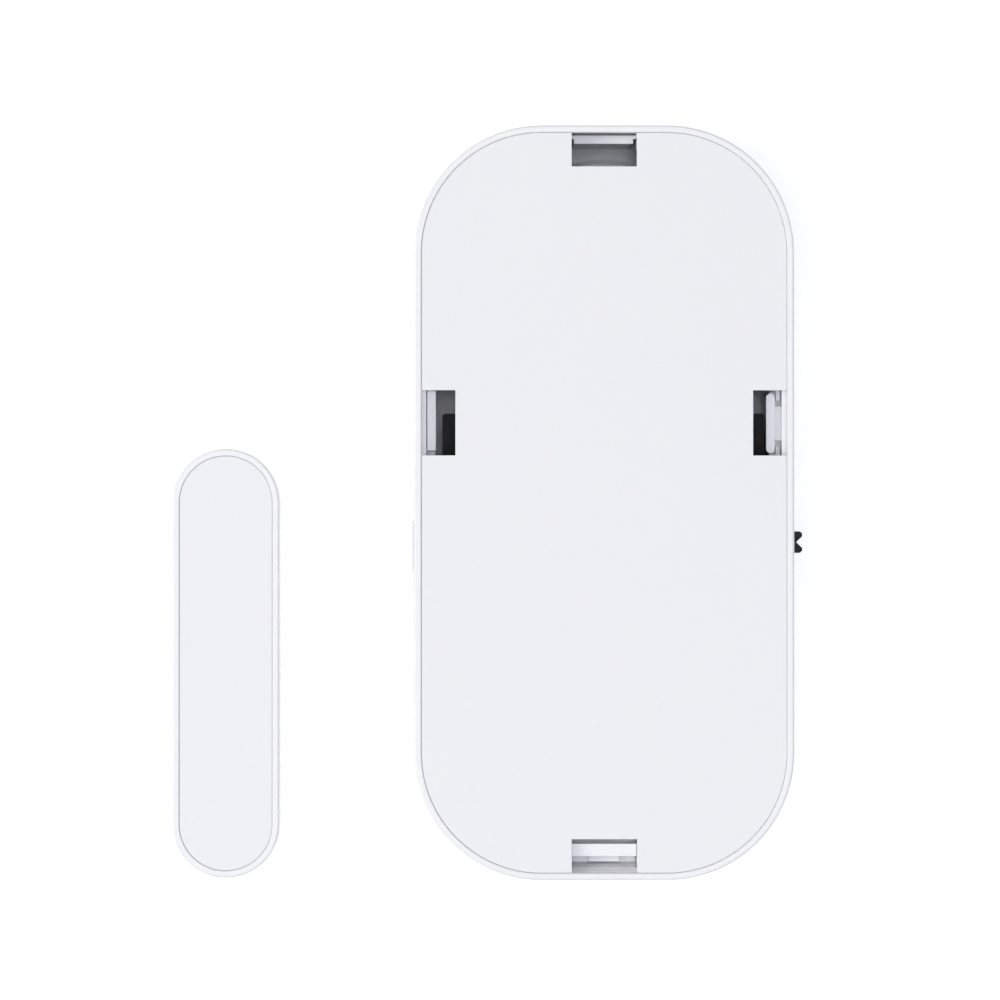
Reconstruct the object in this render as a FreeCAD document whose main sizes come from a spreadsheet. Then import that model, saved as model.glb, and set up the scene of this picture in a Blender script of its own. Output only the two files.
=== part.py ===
import FreeCAD, Part
import math
import os
import Sketcher
from FreeCAD import Placement, Rotation, Vector

# Door contact alarm: a battery sensor unit and the pill-shaped magnet unit that goes beside it.
# Both units lie on their front faces, with their mounting backs up.
# The origin is the centre of the sensor unit's front face. +Z points out of the backs,
# +Y is the sounder end and +X is the switch side. Lengths are in millimetres.

os.makedirs("parts", exist_ok=True)
doc = FreeCAD.newDocument("door_contact_sensor")

DIMENSIONS = {
    # sensor case
    "case_width": 44.8,
    "case_length": 89.0,
    "case_height": 18.0,
    "case_corner": 15.0,
    "case_wall": 1.4,
    "front_wall": 1.8,
    "front_round": 2.2,
    "rim_width": 0.85,
    "rim_round": 0.25,
    "rim_inner_round": 0.15,
    # sunk back plates
    "plate_sink": 0.1,
    "plate_gap": 0.02,
    "plate_thick": 1.6,
    "plate_round": 0.06,
    "skirt_gap": 0.3,
    "skirt_thick": 1.0,
    "skirt_depth": 2.0,
    "notch_length": 7.7,
    "notch_depth": 4.0,
    "side_notch_y": 9.4,
    # catch posts that stand behind the notches
    "foot_post_drop": 1.1,
    "side_post_drop": 2.5,
    "top_post_drop": 4.0,
    "post_thick": 1.0,
    "post_length": 7.0,
    "post_web": 4.0,
    "left_post_gap": 0.14,
    "left_post_y": 9.7,
    "top_post_root": 0.42,
    "top_post_thick": 0.55,
    "right_post_gap": 0.8,
    "foot_post_gap": 1.43,
    "foot_post_thick": 1.45,
    "foot_post_length": 7.6,
    "foot_step": 0.75,
    "foot_sill": 0.68,
    "foot_sill_drop": 2.4,
    "foot_bridge_drop": 2.2,
    "sunk_web_drop": 4.2,
    "side_web_drop": 0.5,
    "sunk_web_thick": 1.2,
    "groove_width": 0.25,
    "groove_depth": 4.4,
    "web_bite": 0.3,
    "floor_bite": 0.2,
    "hook_drop": 1.6,
    "hook_depth": 0.7,
    # battery tray
    "tray_half_width": 19.05,
    "tray_top": 10.6,
    "tray_foot": -39.4,
    "tray_corner": 10.5,
    "tray_flange_top": 12.9,
    "tray_flange_thick": 1.0,
    "trough_half_width": 12.0,
    "trough_wall": 0.9,
    "trough_floor": 4.2,
    "trough_end_top": 15.4,
    "divider_width": 0.6,
    "flange_hole_radius": 1.2,
    "tab_slot_half": 1.2,
    "tab_slot_depth": 0.6,
    # AAA cells
    "cell_radius": 5.2,
    "cell_can": 43.2,
    "cell_total": 44.5,
    "cell_nub_radius": 1.9,
    "cell_pitch_half": 5.65,
    "cell_axis_z": 10.4,
    "contact_thick": 0.3,
    "contact_air": 0.05,
    "contact_bump": 0.4,
    "spring_wire": 0.5,
    "spring_radius": 3.3,
    # circuit board
    "board_bottom": 3.0,
    "board_thick": 1.0,
    "board_half_width": 18.4,
    "board_foot": -38.6,
    "board_shoulder": 9.0,
    "board_ear_half_width": 16.8,
    "board_ear_top": 17.5,
    "rest_x": 9.0,
    "rest_foot_y": -34.0,
    "rest_radius": 1.2,
    # screw bosses
    "boss_x": 15.2,
    "boss_top_y": 2.0,
    "boss_foot_y": -30.0,
    "boss_radius": 2.3,
    "pilot_radius": 0.95,
    "screw_shank_radius": 0.93,
    "screw_shank_length": 7.0,
    "screw_head_radius": 1.9,
    "screw_head_height": 1.3,
    "screw_tip_length": 0.7,
    "recess_reach": 0.95,
    "recess_half_width": 0.22,
    "recess_depth": 0.75,
    # sounder
    "sounder_y": 26.5,
    "sounder_radius": 14.3,
    "sounder_height": 9.5,
    "sounder_wall": 0.9,
    "sounder_ring_height": 1.0,
    "sounder_ring_thick": 1.0,
    "sounder_air": 0.1,
    "sounder_seat": 2.6,
    "piezo_radius": 13.0,
    "grille_hole_radius": 0.8,
    "grille_pitch": 3.2,
    # slide switch
    "switch_y": -5.56,
    "switch_travel": 2.0,
    "switch_length": 8.6,
    "switch_back_x": 15.2,
    "switch_front_x": 19.6,
    "switch_top": 8.2,
    "nub_width": 2.55,
    "nub_proud": 1.42,
    "nub_bottom": 5.6,
    "nub_height": 2.2,
    "nub_notch": 0.7,
    # reed switch
    "reed_x": -15.6,
    "reed_y": -16.5,
    "reed_z": 6.6,
    "reed_glass_radius": 1.1,
    "reed_glass_length": 12.0,
    "reed_lead_length": 18.6,
    "reed_seal": 1.6,
    "reed_gap": 0.12,
    "reed_blade_width": 0.9,
    "reed_blade_thick": 0.15,
    # indicator
    "led_y": 6.5,
    "lens_radius": 1.5,
    # mark on the case's edge
    "mark_y": -5.1,
    "mark_length": 6.0,
    "mark_proud": 0.25,
    # magnet unit
    "magnet_x": -44.7,
    "magnet_y": -18.96,
    "magnet_case_width": 12.7,
    "magnet_case_length": 50.8,
    "magnet_case_height": 12.5,
    "magnet_wall": 1.3,
    "magnet_plate_thick": 1.2,
    "bar_width": 6.5,
    "bar_length": 32.0,
    "bar_thick": 4.0,
    "foam_thick": 0.9,
}

size = doc.addObject("Spreadsheet::Sheet", "Size")
for row, (alias, number) in enumerate(DIMENSIONS.items(), start=1):
    size.set(f"A{row}", alias)
    size.set(f"B{row}", str(number))
    size.setAlias(f"B{row}", alias)
doc.recompute()

# Places that several pieces share, worked out from the sheet.
HALF_W = "(Size.case_width / 2)"
HALF_L = "(Size.case_length / 2)"
PLATE_TOP = "(Size.case_height - Size.plate_sink)"
PLATE_BOTTOM = f"({PLATE_TOP} - Size.plate_thick)"
SIDE_POST_TOP = f"({PLATE_TOP} - Size.side_post_drop)"
TOP_POST_TOP = f"({PLATE_TOP} - Size.top_post_drop)"
FOOT_POST_TOP = f"({PLATE_TOP} - Size.foot_post_drop)"
SUNK_WEB_TOP = f"({PLATE_TOP} - Size.sunk_web_drop)"
BOARD_TOP = "(Size.board_bottom + Size.board_thick)"
FLANGE_BOTTOM = "(Size.tray_flange_top - Size.tray_flange_thick)"
BAY_FLOOR = "(Size.trough_floor + Size.trough_wall)"
BAY_TOP_Y = "(Size.tray_top - Size.trough_wall)"
BAY_FOOT_Y = "(Size.tray_foot + Size.trough_wall)"
BAY_HALF_WIDTH = "(Size.trough_half_width - Size.trough_wall)"
CELL_END_GAP = "(Size.contact_thick + Size.contact_bump + Size.contact_air)"
LEFT_CELL_Y = f"({BAY_TOP_Y} - {CELL_END_GAP} - Size.cell_total / 2)"
RIGHT_CELL_Y = f"({BAY_FOOT_Y} + {CELL_END_GAP} + Size.cell_total / 2)"
SOUNDER_TOP = "(Size.front_wall + Size.sounder_air + Size.sounder_height)"
MAGNET_PLATE_BOTTOM = "(Size.magnet_case_height - Size.plate_sink - Size.magnet_plate_thick)"
MAGNET_BAR_BOTTOM = f"({MAGNET_PLATE_BOTTOM} - Size.foam_thick - Size.bar_thick)"
BOSS_PLACES = [(f"{side} * Size.boss_x", y) for side in (-1, 1)
               for y in ("Size.boss_top_y", "Size.boss_foot_y")]

node_objects = {}


def value(expression):
    """The number that an expression of the sheet's cells works out to."""
    return float(size.evalExpression(str(expression)))


def node(name, piece):
    """Give a finished sub-part the label that names its file."""
    piece.Label = name
    node_objects[name] = piece
    return piece


# ---- sketches ----

def new_body(name):
    return doc.addObject("PartDesign::Body", name + "_body")


def new_sketch(body, name, plane="XY_Plane", offset=("0", "0", "0")):
    """A sketch on one of the body's own origin planes, moved by an offset in the plane's axes."""
    sketch = body.newObject("Sketcher::SketchObject", name)
    support = next(item for item in body.Origin.OriginFeatures if item.Role == plane)
    sketch.AttachmentSupport = (support, [""])
    sketch.MapMode = "FlatFace"
    for axis, expression in zip("xyz", offset):
        sketch.setExpression("AttachmentOffset.Base." + axis, expression)
    return sketch


def level(z):
    """Sketch offset that lifts an XY sketch to height z."""
    return ("0", "0", z)


def bind(sketch, kind, *arguments):
    """Add a dimension constraint and drive it by its last argument, an expression."""
    expression = arguments[-1]
    index = sketch.addConstraint(Sketcher.Constraint(kind, *arguments[:-1], value(expression)))
    sketch.setExpression(f"Constraints[{index}]", expression)


def bind_point(sketch, geometry, point, x, y):
    bind(sketch, "DistanceX", -1, 1, geometry, point, x)
    bind(sketch, "DistanceY", -1, 1, geometry, point, y)


def polygon(sketch, points):
    """Closed outline of straight lines whose corners are pairs of expressions."""
    corners = [Vector(value(x), value(y), 0) for x, y in points]
    count = len(points)
    lines = [sketch.addGeometry(Part.LineSegment(corners[i], corners[(i + 1) % count]))
             for i in range(count)]
    for i, line in enumerate(lines):
        sketch.addConstraint(Sketcher.Constraint("Coincident", line, 2, lines[(i + 1) % count], 1))
        bind_point(sketch, line, 1, *points[i])


def rectangle(sketch, left, right, bottom, top):
    polygon(sketch, [(left, bottom), (right, bottom), (right, top), (left, top)])


def circle(sketch, x, y, radius):
    geometry = sketch.addGeometry(Part.Circle(Vector(value(x), value(y), 0), Vector(0, 0, 1), value(radius)))
    bind_point(sketch, geometry, 3, x, y)
    bind(sketch, "Radius", geometry, radius)


def arc_chain(sketch, arcs):
    """Closed outline of arcs joined by tangent lines; each arc is (x, y, radius, start, end)."""
    items = []
    for x, y, radius, start, end in arcs:
        round_part = Part.Circle(Vector(value(x), value(y), 0), Vector(0, 0, 1), value(radius))
        angles = math.radians(start), math.radians(end)
        items.append(sketch.addGeometry(Part.ArcOfCircle(round_part, *angles)))
    for i, (x, y, radius, start, end) in enumerate(arcs):
        following = items[(i + 1) % len(items)]
        ends = [sketch.getPoint(items[i], 2), sketch.getPoint(following, 1)]
        line = sketch.addGeometry(Part.LineSegment(*ends))
        sketch.addConstraint(Sketcher.Constraint("Tangent", items[i], 2, line, 1))
        sketch.addConstraint(Sketcher.Constraint("Tangent", line, 2, following, 1))
        bind_point(sketch, items[i], 3, x, y)
        bind(sketch, "Radius", items[i], radius)


def rounded(sketch, left, right, bottom, top, top_radius, bottom_radius=None):
    """Rectangle with round corners, with its own radius for the two bottom ones if given."""
    low = bottom_radius or top_radius
    arc_chain(sketch, [
        (f"{right} - {low}", f"{bottom} + {low}", low, 270, 360),
        (f"{right} - {top_radius}", f"{top} - {top_radius}", top_radius, 0, 90),
        (f"{left} + {top_radius}", f"{top} - {top_radius}", top_radius, 90, 180),
        (f"{left} + {low}", f"{bottom} + {low}", low, 180, 270),
    ])


def case_outline(sketch, inset="0"):
    """The sensor case's outline, moved inwards by inset."""
    rounded(sketch, f"-({HALF_W} - {inset})", f"({HALF_W} - {inset})",
            f"-({HALF_L} - {inset})", f"({HALF_L} - {inset})", f"(Size.case_corner - {inset})")


def pill_outline(sketch, inset="0"):
    """The magnet case's outline round its own centre, moved inwards by inset."""
    centre = "((Size.magnet_case_length - Size.magnet_case_width) / 2)"
    radius = f"(Size.magnet_case_width / 2 - {inset})"
    arc_chain(sketch, [("0", centre, radius, 0, 180), ("0", f"-{centre}", radius, 180, 360)])


# ---- features ----

def pad(body, sketch, length, reverse=False):
    feature = body.newObject("PartDesign::Pad", sketch.Name + "_pad")
    feature.Profile = sketch
    feature.setExpression("Length", length)
    feature.Reversed = reverse
    return feature


def pocket(body, sketch, length, reverse=False):
    """Cut against the sketch's normal, or along it when reversed, and make sure that it cuts."""
    doc.recompute()
    before = body.Shape.Volume
    feature = body.newObject("PartDesign::Pocket", sketch.Name + "_pocket")
    feature.Profile = sketch
    feature.setExpression("Length", length)
    feature.Reversed = reverse
    doc.recompute()
    if body.Shape.Volume >= before - 1e-6:
        raise RuntimeError(f"{feature.Name} cuts nothing")
    return feature


def revolve(body, sketch, cut=False):
    """Turn a sketch round its own vertical axis, as a solid or as a groove."""
    kind = "Groove" if cut else "Revolution"
    feature = body.newObject("PartDesign::" + kind, sketch.Name + "_turn")
    feature.Profile = sketch
    feature.ReferenceAxis = (sketch, ["V_Axis"])
    feature.Angle = 360
    return feature


def round_edges(body, name, radius, chosen):
    """Fillet the edges of the body's tip whose bound box passes the test."""
    doc.recompute()
    tip = body.Tip
    names = [f"Edge{i}" for i, edge in enumerate(tip.Shape.Edges, start=1) if chosen(edge.BoundBox)]
    feature = body.newObject("PartDesign::Fillet", name)
    feature.Base = (tip, names)
    feature.setExpression("Radius", radius)
    return feature


def at_height(z):
    """Test for edges that lie flat at height z."""
    height = value(z)
    return lambda box: abs(box.ZMin - height) < 1e-4 and abs(box.ZMax - height) < 1e-4


def within_rim(z, half_width, half_length):
    """Test for the rim's inner edges: flat at height z and no further out than the rim's width."""
    flat = at_height(z)
    reach_x = value(f"{half_width} - Size.rim_width") + 1e-4
    reach_y = value(f"{half_length} - Size.rim_width") + 1e-4
    return lambda box: (flat(box) and max(-box.XMin, box.XMax) < reach_x
                        and max(-box.YMin, box.YMax) < reach_y)


def block(name, low, lengths):
    """A Part::Box from its lowest corner and its three lengths, all expressions."""
    box = doc.addObject("Part::Box", name)
    for axis, expression in zip("xyz", low):
        box.setExpression("Placement.Base." + axis, expression)
    for side, expression in zip(("Length", "Width", "Height"), lengths):
        box.setExpression(side, expression)
    return box


def rod(name, base, radius, height, direction=Vector(0, 0, 1)):
    """A Part::Cylinder from the centre of its base, along a direction."""
    cylinder = doc.addObject("Part::Cylinder", name)
    cylinder.Placement = Placement(Vector(), Rotation(Vector(0, 0, 1), direction))
    for axis, expression in zip("xyz", base):
        cylinder.setExpression("Placement.Base." + axis, expression)
    cylinder.setExpression("Radius", radius)
    cylinder.setExpression("Height", height)
    return cylinder


def fuse(name, pieces):
    joined = doc.addObject("Part::MultiFuse", name)
    joined.Shapes = pieces
    return joined


def cut(name, base, tool):
    result = doc.addObject("Part::Cut", name)
    result.Base = base
    result.Tool = tool
    return result


def group(name, pieces):
    """Separate solids that share one node."""
    compound = doc.addObject("Part::Compound", name)
    compound.Links = pieces
    return compound


# ---- sensor case ----

def front_shell():
    """Moulded front shell: a tray with a sunk ledge, catch posts, screw bosses and a grille."""
    body = new_body("front_shell")
    outline = new_sketch(body, "shell_outline")
    case_outline(outline)
    pad(body, outline, "Size.case_height")
    round_edges(body, "shell_front_round", "Size.front_round", at_height("0"))
    round_edges(body, "shell_rim_round", "Size.rim_round", at_height("Size.case_height"))
    cavity = new_sketch(body, "shell_cavity", offset=level("Size.case_height"))
    case_outline(cavity, "Size.case_wall")
    pocket(body, cavity, "Size.case_height - Size.front_wall")
    ledge = new_sketch(body, "shell_ledge", offset=level("Size.case_height"))
    case_outline(ledge, "Size.rim_width")
    pocket(body, ledge, f"Size.case_height - {PLATE_BOTTOM}")
    round_edges(body, "shell_rim_inner_round", "Size.rim_inner_round",
                within_rim("Size.case_height", HALF_W, HALF_L))
    shell_posts(body)
    shell_bosses(body)
    shell_sounder_ring(body)
    shell_grille(body)
    shell_openings(body)
    edge_mark = new_sketch(body, "shell_mark", offset=level("3 * Size.plate_thick"))
    rectangle(edge_mark, f"-({HALF_W} + Size.mark_proud)", f"-({HALF_W} - 0.5)",
              "Size.mark_y - Size.mark_length / 2", "Size.mark_y + Size.mark_length / 2")
    pad(body, edge_mark, "Size.case_height / 2")
    return node("front_shell", body)


def shell_posts(body):
    """Four upright catch posts on low webs: they stand off the wall by a narrow groove, and the right
    and foot ones by a wider gap, so that they can flex."""
    wall_x = f"({HALF_W} - Size.case_wall)"
    wall_y = f"({HALF_L} - Size.case_wall)"
    root = "Size.web_bite"
    half = "Size.post_length / 2"
    reach = "(Size.notch_length / 2 - 0.05)"
    left = f"(-{wall_x} + Size.left_post_gap)"
    right = f"({wall_x} - Size.right_post_gap)"
    foot = f"(-{wall_y} + Size.foot_post_gap)"
    foot_half = "Size.foot_post_length / 2"
    web = "Size.post_web / 2"

    side_posts = new_sketch(body, "shell_side_posts", offset=level(SIDE_POST_TOP))
    rectangle(side_posts, left, f"{left} + Size.post_thick",
              f"Size.left_post_y - {half}", f"Size.left_post_y + {half}")
    rounded(side_posts, f"({right} - Size.post_thick)", right, f"(Size.side_notch_y - {half})",
            f"(Size.side_notch_y + {half})", "(Size.post_thick * 0.45)")
    pad(body, side_posts, f"{SIDE_POST_TOP} - Size.front_wall", reverse=True)
    side_web = new_sketch(body, "shell_side_web", offset=level(f"{SIDE_POST_TOP} - Size.side_web_drop"))
    rectangle(side_web, f"{right} - 0.2", f"{wall_x} + {root}",
              f"Size.side_notch_y - {web}", f"Size.side_notch_y + {web}")
    pad(body, side_web, f"{SIDE_POST_TOP} - Size.side_web_drop - Size.front_wall", reverse=True)

    top_post = new_sketch(body, "shell_top_post", offset=level(TOP_POST_TOP))
    rectangle(top_post, f"-{half}", half, f"{wall_y} - Size.top_post_thick", f"{wall_y} + {root}")
    pad(body, top_post, f"{TOP_POST_TOP} - Size.front_wall", reverse=True)
    lowered_wall = new_sketch(body, "shell_top_lowered_wall", offset=level(PLATE_BOTTOM))
    rectangle(lowered_wall, f"-{reach}", reach, f"{wall_y} - 0.1", f"{wall_y} + Size.top_post_root + 0.1")
    pocket(body, lowered_wall, f"{PLATE_BOTTOM} - {TOP_POST_TOP}")
    groove = new_sketch(body, "shell_top_groove", offset=level(PLATE_BOTTOM))
    rectangle(groove, f"-{reach}", reach, f"{wall_y} + Size.top_post_root",
              f"{wall_y} + Size.top_post_root + Size.groove_width")
    pocket(body, groove, "Size.groove_depth")

    foot_post = new_sketch(body, "shell_foot_post", offset=level(FOOT_POST_TOP))
    rectangle(foot_post, f"-{foot_half}", foot_half, foot, f"{foot} + Size.foot_post_thick")
    pad(body, foot_post, f"{FOOT_POST_TOP} - Size.front_wall", reverse=True)
    bridge = new_sketch(body, "shell_foot_bridge", offset=level(f"{FOOT_POST_TOP} - Size.foot_bridge_drop"))
    rectangle(bridge, f"-{web} * 0.9", f"{web} * 0.9", f"{foot} - Size.foot_sill", f"{foot} + 0.2")
    pad(body, bridge, f"{FOOT_POST_TOP} - Size.foot_bridge_drop - {SUNK_WEB_TOP} + 0.1", reverse=True)

    low_webs = new_sketch(body, "shell_low_webs", offset=level(SUNK_WEB_TOP))
    rectangle(low_webs, f"-{wall_x} - {root}", f"{left} + Size.post_thick * 0.95",
              f"Size.side_notch_y - {reach}", f"Size.side_notch_y + {reach}")
    rectangle(low_webs, f"{right} - Size.post_thick * 0.6", f"{wall_x} + {root}",
              f"Size.side_notch_y - {reach}", f"Size.side_notch_y + {reach}")
    rectangle(low_webs, f"-{foot_half}", foot_half, f"-{wall_y} - {root}",
              f"{foot} + Size.foot_post_thick + Size.foot_step")
    pad(body, low_webs, "Size.sunk_web_thick", reverse=True)
    sill_cut = new_sketch(body, "shell_sill_cut", offset=level(PLATE_BOTTOM))
    rectangle(sill_cut, f"-{foot_half}", foot_half, f"-{wall_y} - {root} - 0.1", f"-{wall_y} + 0.1")
    pocket(body, sill_cut, "Size.foot_sill_drop")
    shell_foot_sill(body, wall_y, foot_half)


def shell_foot_sill(body, wall_y, foot_half):
    """Sloped sill along the wall under the foot notch, which leads a fingernail to the plate."""
    sill = new_sketch(body, "shell_foot_sill", plane="YZ_Plane", offset=level(f"-{foot_half}"))
    outer = f"(-{wall_y} - Size.web_bite - 0.1)"
    inner = f"(-{wall_y} + Size.foot_sill)"
    polygon(sill, [
        (outer, f"({SUNK_WEB_TOP} - Size.floor_bite)"),
        (inner, f"({SUNK_WEB_TOP} - Size.floor_bite)"),
        (inner, f"({PLATE_BOTTOM} - Size.foot_sill_drop)"),
        (f"(-{wall_y} + Size.foot_sill * 0.55)", f"({PLATE_BOTTOM} - Size.foot_sill_drop * 0.5)"),
        (f"(-{wall_y} + Size.foot_sill * 0.1)", f"({PLATE_BOTTOM} - Size.foot_sill_drop * 0.18)"),
        (outer, PLATE_BOTTOM),
    ])
    pad(body, sill, "Size.foot_post_length")


def shell_bosses(body):
    """Screw bosses up to the tray's flange, and low rests under the circuit board."""
    bosses = new_sketch(body, "shell_bosses", offset=level("Size.front_wall - Size.floor_bite"))
    for x, y in BOSS_PLACES:
        circle(bosses, x, y, "Size.boss_radius")
    pad(body, bosses, f"{FLANGE_BOTTOM} - Size.front_wall + Size.floor_bite")
    pilots = new_sketch(body, "shell_pilots", offset=level(FLANGE_BOTTOM))
    for x, y in BOSS_PLACES:
        circle(pilots, x, y, "Size.pilot_radius")
    pocket(body, pilots, "Size.screw_shank_length")
    rests = new_sketch(body, "shell_board_rests", offset=level("Size.front_wall - Size.floor_bite"))
    for x in ("-Size.rest_x", "Size.rest_x"):
        for y in ("Size.led_y", "Size.rest_foot_y"):
            circle(rests, x, y, "Size.rest_radius")
    pad(body, rests, "Size.board_bottom - Size.front_wall + Size.floor_bite")


def shell_sounder_ring(body):
    """Low round wall that holds the sounder over the grille."""
    ring = new_sketch(body, "shell_sounder_ring", offset=level("Size.front_wall - Size.floor_bite"))
    circle(ring, "0", "Size.sounder_y", "Size.sounder_radius + Size.sounder_air + Size.sounder_ring_thick")
    circle(ring, "0", "Size.sounder_y", "Size.sounder_radius + Size.sounder_air")
    pad(body, ring, "Size.sounder_ring_height + Size.floor_bite")


def shell_grille(body):
    """Round sound holes: one at the centre and three rings round it."""
    centre = ("0", "Size.sounder_y", "Size.front_wall")
    middle = new_sketch(body, "grille_centre", offset=centre)
    circle(middle, "0", "0", "Size.grille_hole_radius")
    pocket(body, middle, "Size.front_wall")
    for ring in (1, 2, 3):
        hole = new_sketch(body, f"grille_ring_{ring}", offset=centre)
        circle(hole, f"{ring} * Size.grille_pitch", "0", "Size.grille_hole_radius")
        first = pocket(body, hole, "Size.front_wall")
        pattern = body.newObject("PartDesign::PolarPattern", f"grille_ring_{ring}_pattern")
        pattern.Originals = [first]
        pattern.Axis = (hole, ["N_Axis"])
        pattern.Angle = 360
        pattern.Occurrences = 6 * ring
        body.Tip = pattern
        doc.recompute()


def shell_openings(body):
    """The light window's stepped hole and the slot for the switch's slider."""
    window = new_sketch(body, "shell_window", offset=level("Size.front_wall"))
    circle(window, "0", "Size.led_y", "Size.lens_radius + 0.03")
    pocket(body, window, "Size.front_wall")
    slot = new_sketch(body, "shell_switch_slot", plane="YZ_Plane", offset=level(f"{HALF_W} + 1"))
    reach = "(Size.nub_width / 2 + Size.switch_travel / 2 + 0.15)"
    rectangle(slot, f"Size.switch_y - {reach}", f"Size.switch_y + {reach}",
              "Size.nub_bottom - 0.15", "Size.nub_bottom + Size.nub_height + 0.15")
    pocket(body, slot, "Size.case_wall + 1.5")


def led_lens():
    """Clear plug that carries the light through the front wall."""
    plug = rod("lens_plug", ("0", "Size.led_y", "0.05"), "Size.lens_radius", "Size.front_wall - 0.05")
    flange = rod("lens_flange", ("0", "Size.led_y", "Size.front_wall"), "Size.lens_radius + 0.5", "0.35")
    return node("led_lens", fuse("led_lens_fuse", [plug, flange]))


def plate_outline_with_notches(body):
    """Cut the four edge notches, through the plate and through the skirt under it."""
    notches = new_sketch(body, "cover_notches", offset=level(PLATE_TOP))
    half = "Size.notch_length / 2"
    inner_x = f"({HALF_W} - Size.rim_width - Size.notch_depth)"
    inner_y = f"({HALF_L} - Size.rim_width - Size.notch_depth)"
    for side in (-1, 1):
        near, far = sorted((f"{side} * {inner_x}", f"{side} * ({HALF_W} + 1)"), key=value)
        rectangle(notches, near, far, f"Size.side_notch_y - {half}", f"Size.side_notch_y + {half}")
        near, far = sorted((f"{side} * {inner_y}", f"{side} * ({HALF_L} + 1)"), key=value)
        rectangle(notches, f"-{half}", half, near, far)
    pocket(body, notches, "Size.plate_thick + Size.skirt_depth")


def back_cover():
    """Sunk back plate with a locating skirt, four edge notches and small catch hooks."""
    body = new_body("back_cover")
    outline = new_sketch(body, "cover_outline", offset=level(PLATE_BOTTOM))
    case_outline(outline, "(Size.rim_width + Size.plate_gap)")
    pad(body, outline, "Size.plate_thick")
    round_edges(body, "cover_round", "Size.plate_round", at_height(PLATE_TOP))
    skirt_outer = "(Size.case_wall + Size.skirt_gap)"
    skirt = new_sketch(body, "cover_skirt", offset=level(PLATE_BOTTOM))
    case_outline(skirt, skirt_outer)
    case_outline(skirt, f"({skirt_outer} + Size.skirt_thick)")
    pad(body, skirt, "Size.skirt_depth", reverse=True)
    plate_outline_with_notches(body)
    hooks = new_sketch(body, "cover_hooks", offset=level(f"{PLATE_BOTTOM} - Size.hook_drop"))
    hook_roots = new_sketch(body, "cover_hook_roots", offset=level(PLATE_BOTTOM))
    middle = f"({HALF_W} - Size.case_wall - Size.right_post_gap / 2)"
    for side in (-1, 1):
        root = f"(Size.side_notch_y + {side} * (Size.notch_length / 2 + 1))"
        tip = f"(Size.side_notch_y + {side} * (Size.post_web / 2 + 0.7))"
        low, high = sorted((root, tip), key=value)
        rectangle(hooks, f"{middle} - 0.25", f"{middle} + 0.25", low, high)
        root_tip = f"(Size.side_notch_y + {side} * (Size.notch_length / 2 + 0.05))"
        low, high = sorted((root, root_tip), key=value)
        rectangle(hook_roots, f"{middle} - 0.25", f"{middle} + 0.25", low, high)
    pad(body, hook_roots, "Size.hook_drop + Size.hook_depth", reverse=True)
    pad(body, hooks, "Size.hook_depth", reverse=True)
    return node("back_cover", body)


# ---- battery tray, contacts and cells ----

def battery_tray():
    """Black moulded tray: a wide flange and a trough for two cells side by side."""
    body = new_body("battery_tray")
    flange = new_sketch(body, "tray_flange", offset=level(FLANGE_BOTTOM))
    rounded(flange, "-Size.tray_half_width", "Size.tray_half_width", "Size.tray_foot", "Size.tray_top",
            "0.3", "Size.tray_corner")
    pad(body, flange, "Size.tray_flange_thick")
    trough = new_sketch(body, "tray_trough", offset=level("Size.trough_floor"))
    rectangle(trough, "-Size.trough_half_width", "Size.trough_half_width", "Size.tray_foot", "Size.tray_top")
    pad(body, trough, f"{FLANGE_BOTTOM} - Size.trough_floor + 0.5")
    ends = new_sketch(body, "tray_ends", offset=level("Size.tray_flange_top"))
    rectangle(ends, "-Size.trough_half_width", "Size.trough_half_width", BAY_TOP_Y, "Size.tray_top")
    rectangle(ends, "-Size.trough_half_width", "Size.trough_half_width", "Size.tray_foot", BAY_FOOT_Y)
    pad(body, ends, "Size.trough_end_top - Size.tray_flange_top")
    bays = new_sketch(body, "tray_bays", offset=level("Size.tray_flange_top"))
    rectangle(bays, f"-{BAY_HALF_WIDTH}", "-Size.divider_width / 2", BAY_FOOT_Y, BAY_TOP_Y)
    rectangle(bays, "Size.divider_width / 2", BAY_HALF_WIDTH, BAY_FOOT_Y, BAY_TOP_Y)
    pocket(body, bays, f"Size.tray_flange_top - {BAY_FLOOR}")
    holes = new_sketch(body, "tray_holes", offset=level("Size.tray_flange_top"))
    for x, y in BOSS_PLACES:
        circle(holes, x, y, "Size.flange_hole_radius")
    pocket(body, holes, "Size.tray_flange_thick")
    tabs = new_sketch(body, "tray_tab_slots", offset=level(BAY_FLOOR))
    for side in (-1, 1):
        x = f"{side} * Size.cell_pitch_half"
        rectangle(tabs, f"{x} - Size.tab_slot_half", f"{x} + Size.tab_slot_half",
                  f"{BAY_TOP_Y} - Size.tab_slot_depth", BAY_TOP_Y)
    pocket(body, tabs, "Size.trough_wall")
    return node("battery_tray", body)


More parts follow.
